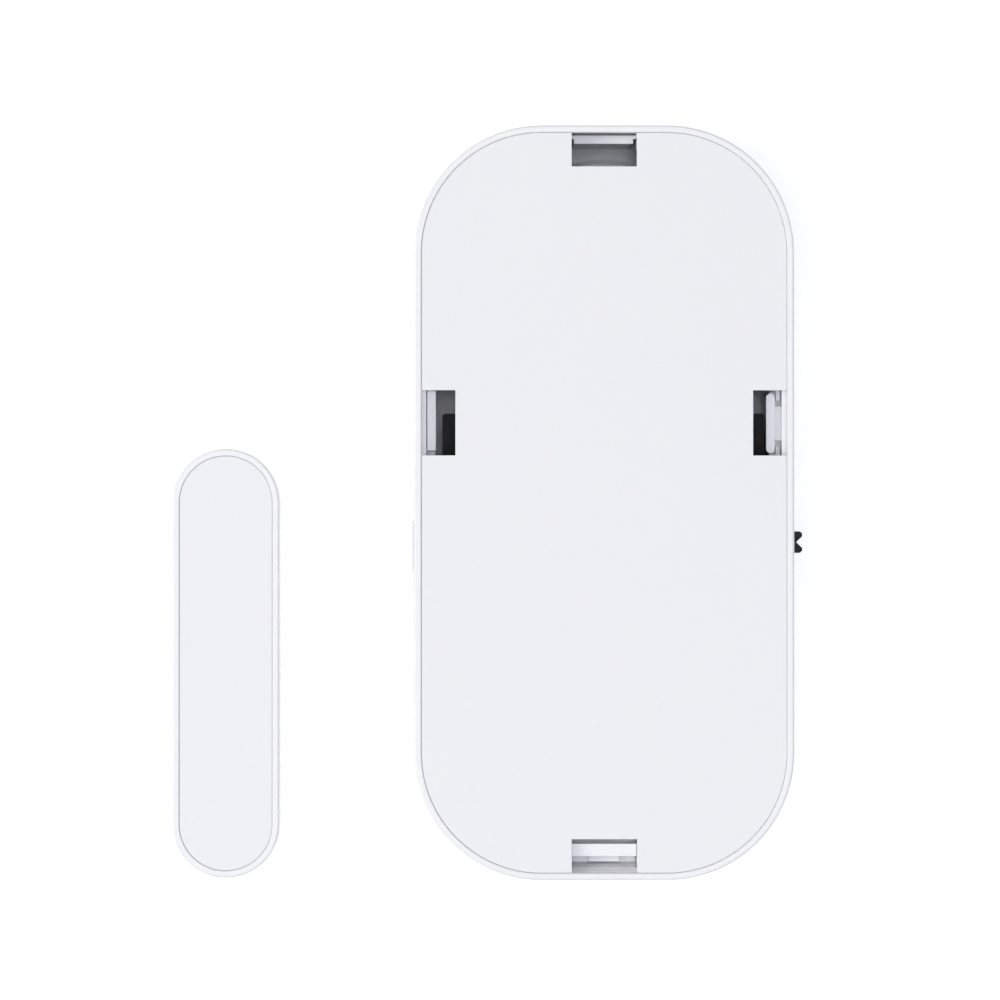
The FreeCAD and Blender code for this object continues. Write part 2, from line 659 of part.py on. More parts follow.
def tray_screws():
    """Four pan-head screws with cross recesses, in the flange's corners."""
    tip = "-Size.screw_shank_length - Size.tray_flange_thick + 0.6"
    recess_arms = (("Size.recess_reach", "Size.recess_half_width"),
                   ("Size.recess_half_width", "Size.recess_reach"))
    screws = []
    for number, (x, y) in enumerate(BOSS_PLACES, start=1):
        body = new_body(f"screw_{number}")
        profile = new_sketch(body, f"screw_{number}_profile", plane="XZ_Plane")
        polygon(profile, [
            ("0", tip),
            ("Size.screw_shank_radius", f"{tip} + Size.screw_tip_length"),
            ("Size.screw_shank_radius", "0"),
            ("Size.screw_head_radius", "0"),
            ("Size.screw_head_radius", "Size.screw_head_height * 0.6"),
            ("Size.screw_head_radius * 0.6", "Size.screw_head_height"),
            ("0", "Size.screw_head_height"),
        ])
        revolve(body, profile)
        for turn, half in enumerate(recess_arms, start=1):
            recess = new_sketch(body, f"screw_{number}_recess_{turn}", offset=level("Size.screw_head_height"))
            rectangle(recess, f"-{half[0]}", half[0], f"-{half[1]}", half[1])
            pocket(body, recess, "Size.recess_depth")
        for axis, expression in zip("xyz", (x, y, "Size.tray_flange_top")):
            body.setExpression("Placement.Base." + axis, expression)
        screws.append(body)
    return node("tray_screws", group("screw_group", screws))


def cell(side, cell_y):
    """One AAA cell as its sleeved can and its steel positive cap, made round the Y axis."""
    name = "left" if side < 0 else "right"
    half = "Size.cell_total / 2"
    top = f"({half} - (Size.cell_total - Size.cell_can))"
    can = new_body(f"cell_can_{name}")
    profile = new_sketch(can, f"cell_can_{name}_profile")
    polygon(profile, [
        ("0", f"-{half}"),
        ("Size.cell_radius - 1.2", f"-{half}"),
        ("Size.cell_radius - 1.2", f"-{half} + 0.25"),
        ("Size.cell_radius - 0.3", f"-{half} + 0.25"),
        ("Size.cell_radius", f"-{half} + 0.55"),
        ("Size.cell_radius", f"{top} - 0.4"),
        ("Size.cell_radius - 0.5", top),
        ("0", top),
    ])
    revolve(can, profile)
    cap = new_body(f"cell_cap_{name}")
    cap_profile = new_sketch(cap, f"cell_cap_{name}_profile")
    polygon(cap_profile, [
        ("0", top),
        ("Size.cell_radius - 1.4", top),
        ("Size.cell_radius - 1.4", f"{top} + 0.3"),
        ("Size.cell_nub_radius", f"{top} + 0.3"),
        ("Size.cell_nub_radius", f"{half} - 0.2"),
        ("Size.cell_nub_radius - 0.2", half),
        ("0", half),
    ])
    revolve(cap, cap_profile)
    for body in (can, cap):
        body.Placement = Placement(Vector(), Rotation(Vector(0, 0, 1), 0 if side < 0 else 180))
        for axis, expression in zip("xyz", (f"{side} * Size.cell_pitch_half", cell_y, "Size.cell_axis_z")):
            body.setExpression("Placement.Base." + axis, expression)
    node(f"aaa_cell_{name}", can)
    node(f"aaa_cell_{name}_cap", cap)


def coil_spring(name, x, wall_y, direction, free):
    """Conical contact spring of round wire that stands off an end wall along Y."""
    wire = value("Size.spring_wire")
    rise = value(free) - wire
    path = Part.Wire(Part.makeHelix(rise / 3.5, rise, value("Size.spring_radius"), -22).Edges)
    start = path.Edges[0].valueAt(path.Edges[0].FirstParameter)
    heading = path.Edges[0].tangentAt(path.Edges[0].FirstParameter)
    section = Part.Wire([Part.makeCircle(wire / 2, start, heading)])
    spring = doc.addObject("Part::Feature", name)
    spring.Shape = path.makePipeShell([section], True, True)
    foot = value(wall_y) + direction * wire * 0.35
    place = Vector(value(x), foot, value("Size.cell_axis_z"))
    spring.Placement = Placement(place, Rotation(Vector(0, 0, 1), Vector(0, direction, 0)))
    return spring


def battery_contacts():
    """Sprung steel contacts: two end terminals with board tabs, and the bridge at the foot."""
    thick = "Size.contact_thick"
    top_face = f"({BAY_TOP_Y} - {thick})"
    foot_face = f"({BAY_FOOT_Y} + {thick})"
    low = f"({BAY_FLOOR} + 0.4)"
    tall = f"Size.tray_flange_top - {low} + 1"
    springs_free = f"{BAY_TOP_Y} - {BAY_FOOT_Y} - 2 * {thick} - Size.cell_total - Size.contact_bump"
    spring_free = f"({springs_free} - 2 * Size.contact_air)"
    for side, name in ((-1, "positive_terminal"), (1, "negative_terminal")):
        x = f"{side} * Size.cell_pitch_half"
        plate = block(name + "_plate", (f"{x} - 4", top_face, low), ("8", thick, tall))
        tab = block(name + "_tab", (f"{x} - 1", top_face, f"{BOARD_TOP} - 0.6"),
                    ("2", thick, f"{low} - {BOARD_TOP} + 1"))
        pieces = [plate, tab]
        if side < 0:
            pieces.append(rod(name + "_bump", (x, top_face, "Size.cell_axis_z"), "1.2",
                              "Size.contact_bump", Vector(0, -1, 0)))
        else:
            pieces.append(coil_spring("negative_spring", x, top_face, -1, spring_free))
        node(name, fuse(name + "_fuse", pieces))
    bridge = block("bridge_plate", ("-Size.cell_pitch_half - 4", BAY_FOOT_Y, low),
                   ("2 * Size.cell_pitch_half + 8", thick, tall))
    gap = block("bridge_gap", ("-Size.divider_width / 2 - 0.1", f"{BAY_FOOT_Y} - 1", f"{low} - 1"),
                ("Size.divider_width + 0.2", "3", f"Size.tray_flange_top - {low} + 1"))
    bump = rod("bridge_bump", ("Size.cell_pitch_half", foot_face, "Size.cell_axis_z"), "1.2",
               "Size.contact_bump", Vector(0, 1, 0))
    spring = coil_spring("bridge_spring", "-Size.cell_pitch_half", foot_face, 1, spring_free)
    node("bridge_contact", fuse("bridge_fuse", [cut("bridge_blank", bridge, gap), bump, spring]))


# ---- circuit board and what is on it ----

def circuit_board():
    """Board under the tray, with two ears beside the sounder and holes for the bosses."""
    body = new_body("circuit_board")
    outline = new_sketch(body, "board_outline", offset=level("Size.board_bottom"))
    rounded(outline, "-Size.board_half_width", "Size.board_half_width", "Size.board_foot",
            "Size.board_shoulder", "1", "(Size.tray_corner - 1)")
    pad(body, outline, "Size.board_thick")
    ears = new_sketch(body, "board_ears", offset=level("Size.board_bottom"))
    rounded(ears, "-Size.board_ear_half_width", "Size.board_ear_half_width", "Size.led_y",
            "Size.board_ear_top", "1")
    pad(body, ears, "Size.board_thick")
    holes = new_sketch(body, "board_holes", offset=level(BOARD_TOP))
    for x, y in BOSS_PLACES:
        circle(holes, x, y, "Size.boss_radius + 0.15")
    circle(holes, "0", "Size.sounder_y", "Size.sounder_radius + 1.4")
    pocket(body, holes, "Size.board_thick")
    slots = new_sketch(body, "board_slots", offset=level(BOARD_TOP))
    for side in (-1, 1):
        x = f"{side} * Size.cell_pitch_half"
        rectangle(slots, f"{x} - 1.1", f"{x} + 1.1", "Size.board_shoulder - 1", f"{BAY_TOP_Y} + 0.1")
    pocket(body, slots, "Size.board_thick")
    return node("circuit_board", body)


def chips():
    """Flat parts soldered to the board: controller, transistor, resistors and capacitors."""
    strip_x = "(Size.trough_half_width + 3.3)"
    node("controller_chip", block("controller_body", (f"{strip_x} - 1.5", "-22", f"{BOARD_TOP} + 0.1"),
                                  ("3", "5", "1.1")))
    legs = [block(f"controller_leg_{i}_{side}", (f"{strip_x} + {x}", f"-21.45 + {i} * 1.27", BOARD_TOP),
                  ("0.85", "0.35", "0.45")) for i in range(4) for side, x in enumerate(("-2.35", "1.5"))]
    node("controller_leads", group("controller_lead_group", legs))
    node("drive_transistor", block("transistor_body", (f"{strip_x} - 0.65", "-14.5", BOARD_TOP),
                                   ("1.3", "2.9", "1.0")))
    resistors = [block(f"resistor_{i}", (f"-6 + {i} * 3", "-12", "Size.board_bottom - 0.5"),
                       ("2", "1.2", "0.5")) for i in range(5)]
    node("chip_resistors", group("resistor_group", resistors))
    capacitors = [block(f"capacitor_{i}", (f"-6 + {i} * 4", "-20", "Size.board_bottom - 0.8"),
                        ("1.2", "2", "0.8")) for i in range(4)]
    node("chip_capacitors", group("capacitor_group", capacitors))
    node("indicator_led", block("led_chip", ("-0.8", "Size.led_y - 0.4", "Size.board_bottom - 0.6"),
                                ("1.6", "0.8", "0.6")))


def turned(name, x, y, z, profile_points):
    """A body turned round the vertical axis through (x, y), from a half profile above z."""
    body = new_body(name)
    profile = new_sketch(body, name + "_profile", plane="XZ_Plane")
    polygon(profile, profile_points)
    revolve(body, profile)
    for axis, expression in zip("xyz", (x, y, z)):
        body.setExpression("Placement.Base." + axis, expression)
    return node(name, body)


def tall_parts():
    """The step-up coil and the storage capacitor, on the board's ears."""
    ear_x, ear_y = "13.6", "13.4"
    turned("coil_core", ear_x, ear_y, BOARD_TOP, [
        ("0", "0"), ("2.9", "0"), ("2.9", "0.7"), ("1.3", "0.7"),
        ("1.3", "4.3"), ("2.9", "4.3"), ("2.9", "5"), ("0", "5"),
    ])
    turned("coil_winding", ear_x, ear_y, BOARD_TOP, [
        ("1.35", "0.75"), ("2.6", "0.75"), ("2.6", "4.25"), ("1.35", "4.25"),
    ])
    turned("storage_capacitor", f"-{ear_x}", ear_y, BOARD_TOP, [
        ("0", "0"), ("2", "0"), ("2", "0.9"), ("1.8", "1.1"), ("2", "1.3"), ("2", "5.3"),
        ("1.8", "5.5"), ("0", "5.5"),
    ])


def slide_switch():
    """Right-angle slide switch: base, folded metal cover, slider with a notched nub, wiper, pins."""
    half = "Size.switch_length / 2"
    low_y = f"(Size.switch_y - {half})"
    deep = "Size.switch_front_x - Size.switch_back_x"
    skin = "0.3"
    base_top = f"({BOARD_TOP} + 1.2)"
    inner_corner = (f"Size.switch_back_x + {skin}", f"{low_y} + {skin}")
    inner_size = (f"{deep} - 2 * {skin}", f"Size.switch_length - 2 * {skin}")
    node("switch_base", block("switch_base_block", (*inner_corner, BOARD_TOP), (*inner_size, "1.2")))
    shell = block("switch_cover_block", ("Size.switch_back_x", low_y, f"{BOARD_TOP} + 0.1"),
                  (deep, "Size.switch_length", f"Size.switch_top - {BOARD_TOP} - 0.1"))
    hollow = block("switch_cover_hollow", (*inner_corner, f"{BOARD_TOP} - 1"),
                   (*inner_size, f"Size.switch_top - {BOARD_TOP} - {skin} + 1"))
    mouth_half = "(Size.nub_width / 2 + Size.switch_travel / 2 + 0.15)"
    mouth = block("switch_cover_mouth", ("Size.switch_front_x - 1", f"Size.switch_y - {mouth_half}",
                                         "Size.nub_bottom - 0.1"),
                  ("2", f"2 * {mouth_half}", "Size.nub_height + 0.2"))
    node("switch_cover", cut("switch_cover_cut", shell, fuse("switch_cover_spaces", [hollow, mouth])))
    switch_slider()
    slider_y = "(Size.switch_y + Size.switch_travel / 2)"
    wiper_low = f"({base_top} + 0.05)"
    node("switch_wiper", block("wiper_strip", ("Size.switch_back_x + 1", f"{slider_y} - 1.6", wiper_low),
                               ("1.6", "3.2", f"Size.nub_bottom - {wiper_low}")))
    pin_x = "Size.switch_back_x + 1.6"
    pins = [rod(f"switch_pin_{i}", (pin_x, f"Size.switch_y + {offset}", "Size.board_bottom - 0.8"), "0.3", "0.8")
            for i, offset in enumerate((-2.5, 0, 2.5))]
    node("switch_pins", group("switch_pin_group", pins))


def switch_slider():
    """Slider block inside the switch, its stem through the case wall and the notched nub."""
    body = new_body("switch_slider")
    y = "(Size.switch_y + Size.switch_travel / 2)"
    half = "Size.nub_width / 2"
    tip = f"({HALF_W} + Size.nub_proud)"
    nub = new_sketch(body, "slider_nub", offset=level("Size.nub_bottom"))
    polygon(nub, [
        ("Size.switch_front_x - 1", f"{y} - {half}"),
        (f"{tip} - 0.25", f"{y} - {half}"),
        (tip, f"{y} - {half} + 0.25"),
        (tip, f"{y} - Size.nub_notch"),
        (f"{tip} - Size.nub_notch", y),
        (tip, f"{y} + Size.nub_notch"),
        (tip, f"{y} + {half} - 0.25"),
        (f"{tip} - 0.25", f"{y} + {half}"),
        ("Size.switch_front_x - 1", f"{y} + {half}"),
    ])
    pad(body, nub, "Size.nub_height")
    inner = new_sketch(body, "slider_block", offset=level("Size.nub_bottom"))
    rectangle(inner, "Size.switch_back_x + 0.5", "Size.switch_front_x - 0.4", f"{y} - 2.2", f"{y} + 2.2")
    pad(body, inner, "Size.nub_height")
    return node("switch_slider", body)


def reed_switch():
    """Sealed glass reed switch along Y at the magnet's side. One blade flexes inside the glass,
    so it is a solid of its own that starts where its lead leaves the seal."""
    half = "Size.reed_glass_length / 2"
    outer = "Size.reed_glass_radius"
    glass = new_body("reed_glass")
    profile = new_sketch(glass, "reed_glass_profile")
    polygon(profile, [
        ("0", f"-{half}"), ("0.55", f"-{half}"), (outer, f"-{half} + 1.1"), (outer, f"{half} - 1.1"),
        ("0.55", half), ("0", half),
    ])
    revolve(glass, profile)
    doc.recompute()
    bore = new_sketch(glass, "reed_glass_bore")
    reach = f"({half} - Size.reed_seal)"
    rectangle(bore, "0", f"{outer} - 0.25", f"-{reach}", reach)
    revolve(glass, bore, cut=True)
    for side, name in ((-1, "moving"), (1, "fixed")):
        hole = new_sketch(glass, f"reed_{name}_hole", plane="XZ_Plane", offset=level(f"{-side} * ({half} + 0.5)"))
        low = f"{side} * (Size.reed_gap + Size.reed_blade_thick) / 2 - Size.reed_blade_thick / 2"
        rectangle(hole, "-Size.reed_blade_width / 2", "Size.reed_blade_width / 2", low,
                  f"{low} + Size.reed_blade_thick")
        pocket(glass, hole, "Size.reed_seal + 0.6", reverse=side > 0)
    for axis, expression in zip("xyz", ("Size.reed_x", "Size.reed_y", "Size.reed_z")):
        glass.setExpression("Placement.Base." + axis, expression)
    node("reed_glass", glass)
    moving_low = "(Size.reed_z - Size.reed_gap / 2 - Size.reed_blade_thick)"
    fixed_low = "(Size.reed_z + Size.reed_gap / 2)"
    seal_y = f"(Size.reed_y - {reach})"
    tip = "0.6"
    node("reed_moving_blade", reed_strip("reed_moving_blade_strip", f"{seal_y} + 0.05", f"Size.reed_y + {tip}",
                                         moving_low))
    node("reed_lead", reed_lead("reed_lead", -1, seal_y, moving_low))
    node("reed_fixed_blade", reed_lead("reed_fixed_blade", 1, f"Size.reed_y - {tip}", fixed_low))


def reed_strip(name, start, end, low):
    return block(name, ("Size.reed_x - Size.reed_blade_width / 2", start, low),
                 ("Size.reed_blade_width", f"{end} - ({start})", "Size.reed_blade_thick"))


def reed_lead(name, side, inner_end, low):
    """A flat lead that runs out of the glass and turns down to the board."""
    far = f"Size.reed_y + {side} * Size.reed_lead_length / 2"
    start, end = sorted((inner_end, far), key=value)
    strip = reed_strip(name + "_strip", start, end, low)
    leg_start = f"{far} - 0.3 - {side} * 0.3"
    leg = block(name + "_leg", ("Size.reed_x - 0.3", leg_start, BOARD_TOP),
                ("0.6", "0.6", f"{low} - {BOARD_TOP} + Size.reed_blade_thick"))
    return fuse(name + "_fuse", [strip, leg])


# ---- sounder ----

def sounder():
    """Round piezo sounder over the grille: cup, disc, ceramic, retaining ring and two wires."""
    place = ("0", "Size.sounder_y", "Size.front_wall + Size.sounder_air")
    outer = "Size.sounder_radius"
    inner = f"({outer} - Size.sounder_wall)"
    seat = "Size.sounder_seat"
    turned("sounder_case", *place, [
        ("0", "Size.sounder_height - 0.9"),
        (f"{inner} - 0.9", "Size.sounder_height - 0.9"),
        (f"{inner} - 0.9", seat),
        (inner, seat),
        (inner, "0"),
        (outer, "0"),
        (outer, "Size.sounder_height - 0.5"),
        (f"{outer} - 0.5", "Size.sounder_height"),
        ("0", "Size.sounder_height"),
    ])
    turned("piezo_disc", *place, [
        ("0", f"{seat} - 0.25"), ("Size.piezo_radius", f"{seat} - 0.25"),
        ("Size.piezo_radius", seat), ("0", seat),
    ])
    turned("piezo_ceramic", *place, [
        ("0", seat), ("Size.piezo_radius * 0.72", seat),
        ("Size.piezo_radius * 0.72", f"{seat} + 0.2"), ("0", f"{seat} + 0.2"),
    ])
    turned("sounder_ring", *place, [
        (f"{inner} - 1.3", "0.1"), (f"{inner} - 0.03", "0.1"),
        (f"{inner} - 0.03", f"{seat} - 0.25"), (f"{inner} - 1.3", f"{seat} - 0.25"),
    ])
    sounder_wire("sounder_wire_red", 1)
    sounder_wire("sounder_wire_black", -1)


def sounder_wire(name, side):
    """Insulated wire from the board, over the sounder's edge and down to its back."""
    radius = 0.45
    bend = 1.6
    top = value(SOUNDER_TOP) + 1.9
    points = [Vector(side * 9.2, value("Size.tray_top") + 1.1, value(BOARD_TOP)),
              Vector(side * 9.2, value("Size.tray_top") + 1.1, top),
              Vector(side * 4.5, value("Size.sounder_y") - 6, top),
              Vector(side * 4.5, value("Size.sounder_y") - 6, value(SOUNDER_TOP))]
    edges = []
    start = points[0]
    for before, corner, after in zip(points, points[1:], points[2:]):
        enter = (before - corner).normalize()
        leave = (after - corner).normalize()
        arc_in = corner + enter * bend
        arc_out = corner + leave * bend
        middle = corner + (enter + leave).normalize() * bend * (math.sqrt(2) - 1)
        edges.append(Part.LineSegment(start, arc_in).toShape())
        edges.append(Part.Arc(arc_in, middle, arc_out).toShape())
        start = arc_out
    edges.append(Part.LineSegment(start, points[-1]).toShape())
    path = Part.Wire(edges)
    section = Part.Wire([Part.makeCircle(radius, points[0], Vector(0, 0, 1))])
    wire = doc.addObject("Part::Feature", name)
    wire.Shape = path.makePipeShell([section], True, True)
    return node(name, wire)


# ---- magnet unit ----

def place_magnet_piece(body):
    """Stand a body that was made round its own centre at the magnet unit's place."""
    body.setExpression("Placement.Base.x", "Size.magnet_x")
    body.setExpression("Placement.Base.y", "Size.magnet_y")


def magnet_unit():
    """Pill-shaped case with a sunk back plate, a bar magnet on cross ribs and a foam pad."""
    shell = new_body("magnet_shell")
    outline = new_sketch(shell, "magnet_outline")
    pill_outline(outline)
    pad(shell, outline, "Size.magnet_case_height")
    round_edges(shell, "magnet_front_round", "Size.front_round * 0.7", at_height("0"))
    round_edges(shell, "magnet_rim_round", "Size.rim_round", at_height("Size.magnet_case_height"))
    cavity = new_sketch(shell, "magnet_cavity", offset=level("Size.magnet_case_height"))
    pill_outline(cavity, "Size.magnet_wall")
    pocket(shell, cavity, "Size.magnet_case_height - Size.magnet_wall")
    ledge = new_sketch(shell, "magnet_ledge", offset=level("Size.magnet_case_height"))
    pill_outline(ledge, "Size.rim_width")
    pocket(shell, ledge, f"Size.magnet_case_height - {MAGNET_PLATE_BOTTOM}")
    round_edges(shell, "magnet_rim_inner_round", "Size.rim_inner_round",
                within_rim("Size.magnet_case_height", "Size.magnet_case_width / 2",
                           "Size.magnet_case_length / 2"))
    ribs = new_sketch(shell, "magnet_ribs", offset=level("Size.magnet_wall - Size.floor_bite"))
    reach = "(Size.magnet_case_width / 2 - Size.magnet_wall + Size.floor_bite)"
    for y in ("-12", "0", "12"):
        rectangle(ribs, f"-{reach}", reach, f"{y} - 0.5", f"{y} + 0.5")
    pad(shell, ribs, f"{MAGNET_BAR_BOTTOM} - Size.magnet_wall + Size.floor_bite")
    stops = new_sketch(shell, "magnet_stops", offset=level("Size.magnet_wall - Size.floor_bite"))
    for side in (-1, 1):
        near, far = sorted((f"{side} * (Size.bar_length / 2 + 0.1)",
                            f"{side} * (Size.bar_length / 2 + 1.1)"), key=value)
        rectangle(stops, "-3.6", "3.6", near, far)
    pad(shell, stops, f"{MAGNET_PLATE_BOTTOM} - Size.magnet_wall - 0.3")
    place_magnet_piece(shell)
    node("magnet_shell", shell)

    plate = new_body("magnet_back_cover")
    plate_outline = new_sketch(plate, "magnet_plate_outline", offset=level(MAGNET_PLATE_BOTTOM))
    pill_outline(plate_outline, "(Size.rim_width + Size.plate_gap)")
    pad(plate, plate_outline, "Size.magnet_plate_thick")
    round_edges(plate, "magnet_plate_round", "Size.plate_round",
                at_height(f"{MAGNET_PLATE_BOTTOM} + Size.magnet_plate_thick"))
    place_magnet_piece(plate)
    node("magnet_back_cover", plate)

    bar = new_body("bar_magnet")
    bar_outline = new_sketch(bar, "bar_outline", offset=level(MAGNET_BAR_BOTTOM))
    rectangle(bar_outline, "-Size.bar_width / 2", "Size.bar_width / 2", "-Size.bar_length / 2",
              "Size.bar_length / 2")
    pad(bar, bar_outline, "Size.bar_thick")
    place_magnet_piece(bar)
    node("bar_magnet", bar)
    node("magnet_foam_pad", block("foam_block", (
        "Size.magnet_x - Size.bar_width / 2 + 0.5", "Size.magnet_y - Size.bar_length / 2 + 1",
        f"{MAGNET_PLATE_BOTTOM} - Size.foam_thick"),
        ("Size.bar_width - 1", "Size.bar_length - 2", "Size.foam_thick")))


def check_and_write():
    """Stop on any failed object, then write one STEP file for each sub-part."""
    doc.recompute()
    for item in doc.Objects:
        if {"Invalid", "Error"} & set(item.State):
            raise RuntimeError(f"{item.Name} did not recompute: {item.State}")
    for name, piece in node_objects.items():
        if piece.Shape.isNull() or not piece.Shape.isValid():
            raise RuntimeError(f"{name} has no valid shape")
        piece.Shape.exportStep(f"parts/{name}.step")
        print(f"{name:24s} {len(piece.Shape.Solids)} solid  {piece.Shape.Volume:10.2f} mm3")


front_shell()
led_lens()
back_cover()
battery_tray()
tray_screws()
cell(-1, LEFT_CELL_Y)
cell(1, RIGHT_CELL_Y)
battery_contacts()
circuit_board()
chips()
tall_parts()
slide_switch()
reed_switch()
sounder()
magnet_unit()
check_and_write()
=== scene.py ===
# %% [markdown]
# # A door contact alarm, seen on its back
# The object is two small mouldings lying face down: a sensor unit with batteries, a sounder and a slide
# switch, and a pill-shaped magnet unit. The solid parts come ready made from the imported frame, in metres,
# each in its place. This lesson gives every surface its real finish and adds the pieces that are too
# small or too soft for the solid model.

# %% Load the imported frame
import math

import bmesh
import bpy
from mathutils import Matrix, Vector


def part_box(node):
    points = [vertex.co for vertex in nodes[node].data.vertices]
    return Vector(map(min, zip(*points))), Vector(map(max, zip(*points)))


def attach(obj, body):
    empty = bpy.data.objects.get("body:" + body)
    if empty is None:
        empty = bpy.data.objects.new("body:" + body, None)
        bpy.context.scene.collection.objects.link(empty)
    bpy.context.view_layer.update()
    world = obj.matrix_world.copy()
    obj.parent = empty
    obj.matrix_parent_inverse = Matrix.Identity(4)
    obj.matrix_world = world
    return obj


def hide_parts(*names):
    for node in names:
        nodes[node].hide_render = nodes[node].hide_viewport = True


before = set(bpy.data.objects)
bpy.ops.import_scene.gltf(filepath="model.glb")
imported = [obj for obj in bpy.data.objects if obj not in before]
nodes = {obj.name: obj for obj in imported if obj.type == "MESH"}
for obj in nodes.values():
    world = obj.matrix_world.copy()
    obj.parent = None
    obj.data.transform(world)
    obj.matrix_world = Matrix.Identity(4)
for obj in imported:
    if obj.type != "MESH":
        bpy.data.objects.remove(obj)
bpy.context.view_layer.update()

MM = 0.001

# %% [markdown]
# ## Two helpers that every finish needs
# A paint chart or a swatch gives a colour as an sRGB hex value, but the shaders work in linear light,
# so one function turns the first into the second. The other adds one shader node with its settings and
# its links, which keeps each material short enough to read from top to bottom.

# %% Colour and node helpers
def linear(hex_code, alpha=1.0):
    """A linear RGBA colour from an sRGB hex value such as F2F3F5."""
    channels = [int(hex_code[i:i + 2], 16) / 255 for i in (0, 2, 4)]
    return tuple(c / 12.92 if c <= 0.04045 else ((c + 0.055) / 1.055) ** 2.4 for c in channels) + (alpha,)


def add(tree, kind, sockets=None, **settings):
    """Add a node, set its properties, and set or link its sockets."""
    node = tree.nodes.new(kind)
    for name, setting in settings.items():
        setattr(node, name, setting)
    for name, source in (sockets or {}).items():
        if isinstance(source, bpy.types.NodeSocket):
            tree.links.new(source, node.inputs[name])
        else:
            node.inputs[name].default_value = source
    return node


def per_mm(size_mm):
    """Texture scale that makes one feature of a noise about this many millimetres wide."""
    return 1 / (size_mm * MM)


print("white plastic in linear light:", [round(c, 3) for c in linear("F2F3F5")])

# %% [markdown]
# ## A starting point for every material
# Almost everything here is moulded, plated or printed, and what the eye reads is the same three things:
# a slow drift of colour, a roughness that isn't quite even, and a fine relief in the surface. So one
# function builds that from real sizes, and each material says what its own sizes are. The pattern
# follows the object's own coordinates, in metres, so nothing needs unwrapping. Handling adds faint
# smudges, which change the roughness over the same distance as the colour, and wears the edges bright.

# %% The common build of a surface
def surface(name, colours, rough, tint_mm, grain_mm, relief_mm, stretch=(1, 1, 1), **shader):
    """A material whose colour drifts over tint_mm and whose relief has grains of grain_mm."""
    material = bpy.data.materials.new(name)
    material.use_nodes = True
    tree = material.node_tree
    tree.nodes.clear()
    place = add(tree, "ShaderNodeTexCoord")
    run = add(tree, "ShaderNodeMapping", {"Vector": place.outputs["Object"], "Scale": stretch})
    drift = add(tree, "ShaderNodeTexNoise", {"Vector": run.outputs["Vector"], "Scale": per_mm(tint_mm),
                                             "Detail": 3.0, "Roughness": 0.55})
    grain = add(tree, "ShaderNodeTexNoise", {"Vector": run.outputs["Vector"], "Scale": per_mm(grain_mm),
                                             "Detail": 2.0, "Roughness": 0.5})
    tone = add(tree, "ShaderNodeValToRGB", {"Fac": drift.outputs["Fac"]})
    tone.color_ramp.elements[0].position = 0.3
    tone.color_ramp.elements[0].color = linear(colours[0])
    tone.color_ramp.elements[1].position = 0.7
    tone.color_ramp.elements[1].color = linear(colours[1])
    gloss = add(tree, "ShaderNodeMapRange", {"Value": grain.outputs["Fac"], "From Min": 0.3, "From Max": 0.7,
                                             "To Min": rough[0], "To Max": rough[1]})
    touched = add(tree, "ShaderNodeMath", {0: drift.outputs["Fac"], 1: 0.1, 2: -0.05},
                  operation="MULTIPLY_ADD")
    handled = add(tree, "ShaderNodeMath", {0: gloss.outputs["Result"], 1: touched.outputs[0]}, operation="ADD")
    relief = add(tree, "ShaderNodeBump", {"Height": grain.outputs["Fac"], "Strength": 1.0,
                                          "Distance": relief_mm * MM})
    body = add(tree, "ShaderNodeBsdfPrincipled", {"Base Color": tone.outputs["Color"],
                                                  "Roughness": handled.outputs[0],
                                                  "Normal": relief.outputs["Normal"]})
    for socket, setting in shader.items():
        body.inputs[socket.replace("_", " ")].default_value = setting
    add(tree, "ShaderNodeOutputMaterial", {"Surface": body.outputs["BSDF"]})
    return material


def wear_edges(material, colour, width_mm, amount):
    """Change the colour along sharp edges, where handling polishes or thins a surface."""
    tree = material.node_tree
    body = tree.nodes["Principled BSDF"]
    plain = body.inputs["Base Color"].links[0].from_socket
    rounded = add(tree, "ShaderNodeBevel", {"Radius": width_mm * MM}, samples=4)
    flat = add(tree, "ShaderNodeNewGeometry")
    match = add(tree, "ShaderNodeVectorMath", {0: rounded.outputs["Normal"], 1: flat.outputs["Normal"]},
                operation="DOT_PRODUCT")
    edge = add(tree, "ShaderNodeMapRange", {"Value": match.outputs["Value"], "From Min": 0.99, "From Max": 0.85,
                                            "To Min": 0.0, "To Max": amount})
    worn = add(tree, "ShaderNodeMix", {0: edge.outputs["Result"], 6: plain, 7: linear(colour)},
               data_type="RGBA")
    tree.links.new(worn.outputs[2], body.inputs["Base Color"])
    return material


def finish(material, *names):
    """Give one material to several solid nodes."""
    for name in names:
        slots = nodes[name].data.materials
        slots.clear()
        slots.append(material)
    print(material.name, "on", ", ".join(names))


# %% [markdown]
# ## Camera
# The view is from straight above, a long way off through a long lens, so that the case's side walls stay
# hidden behind their rims. The camera stands over the gap between the two units and looks at the
# middle of both. A long lens also keeps both units at nearly the same scale.

# %% Camera above the two units
CAMERA_HEIGHT = 1.0
VIEW_WIDTH = 0.1178
SENSOR_WIDTH = 36.0
AIM_X, AIM_Y = -12.3 * MM, 0.3 * MM
STAND_X, STAND_Y = -25 * MM, -13.7 * MM

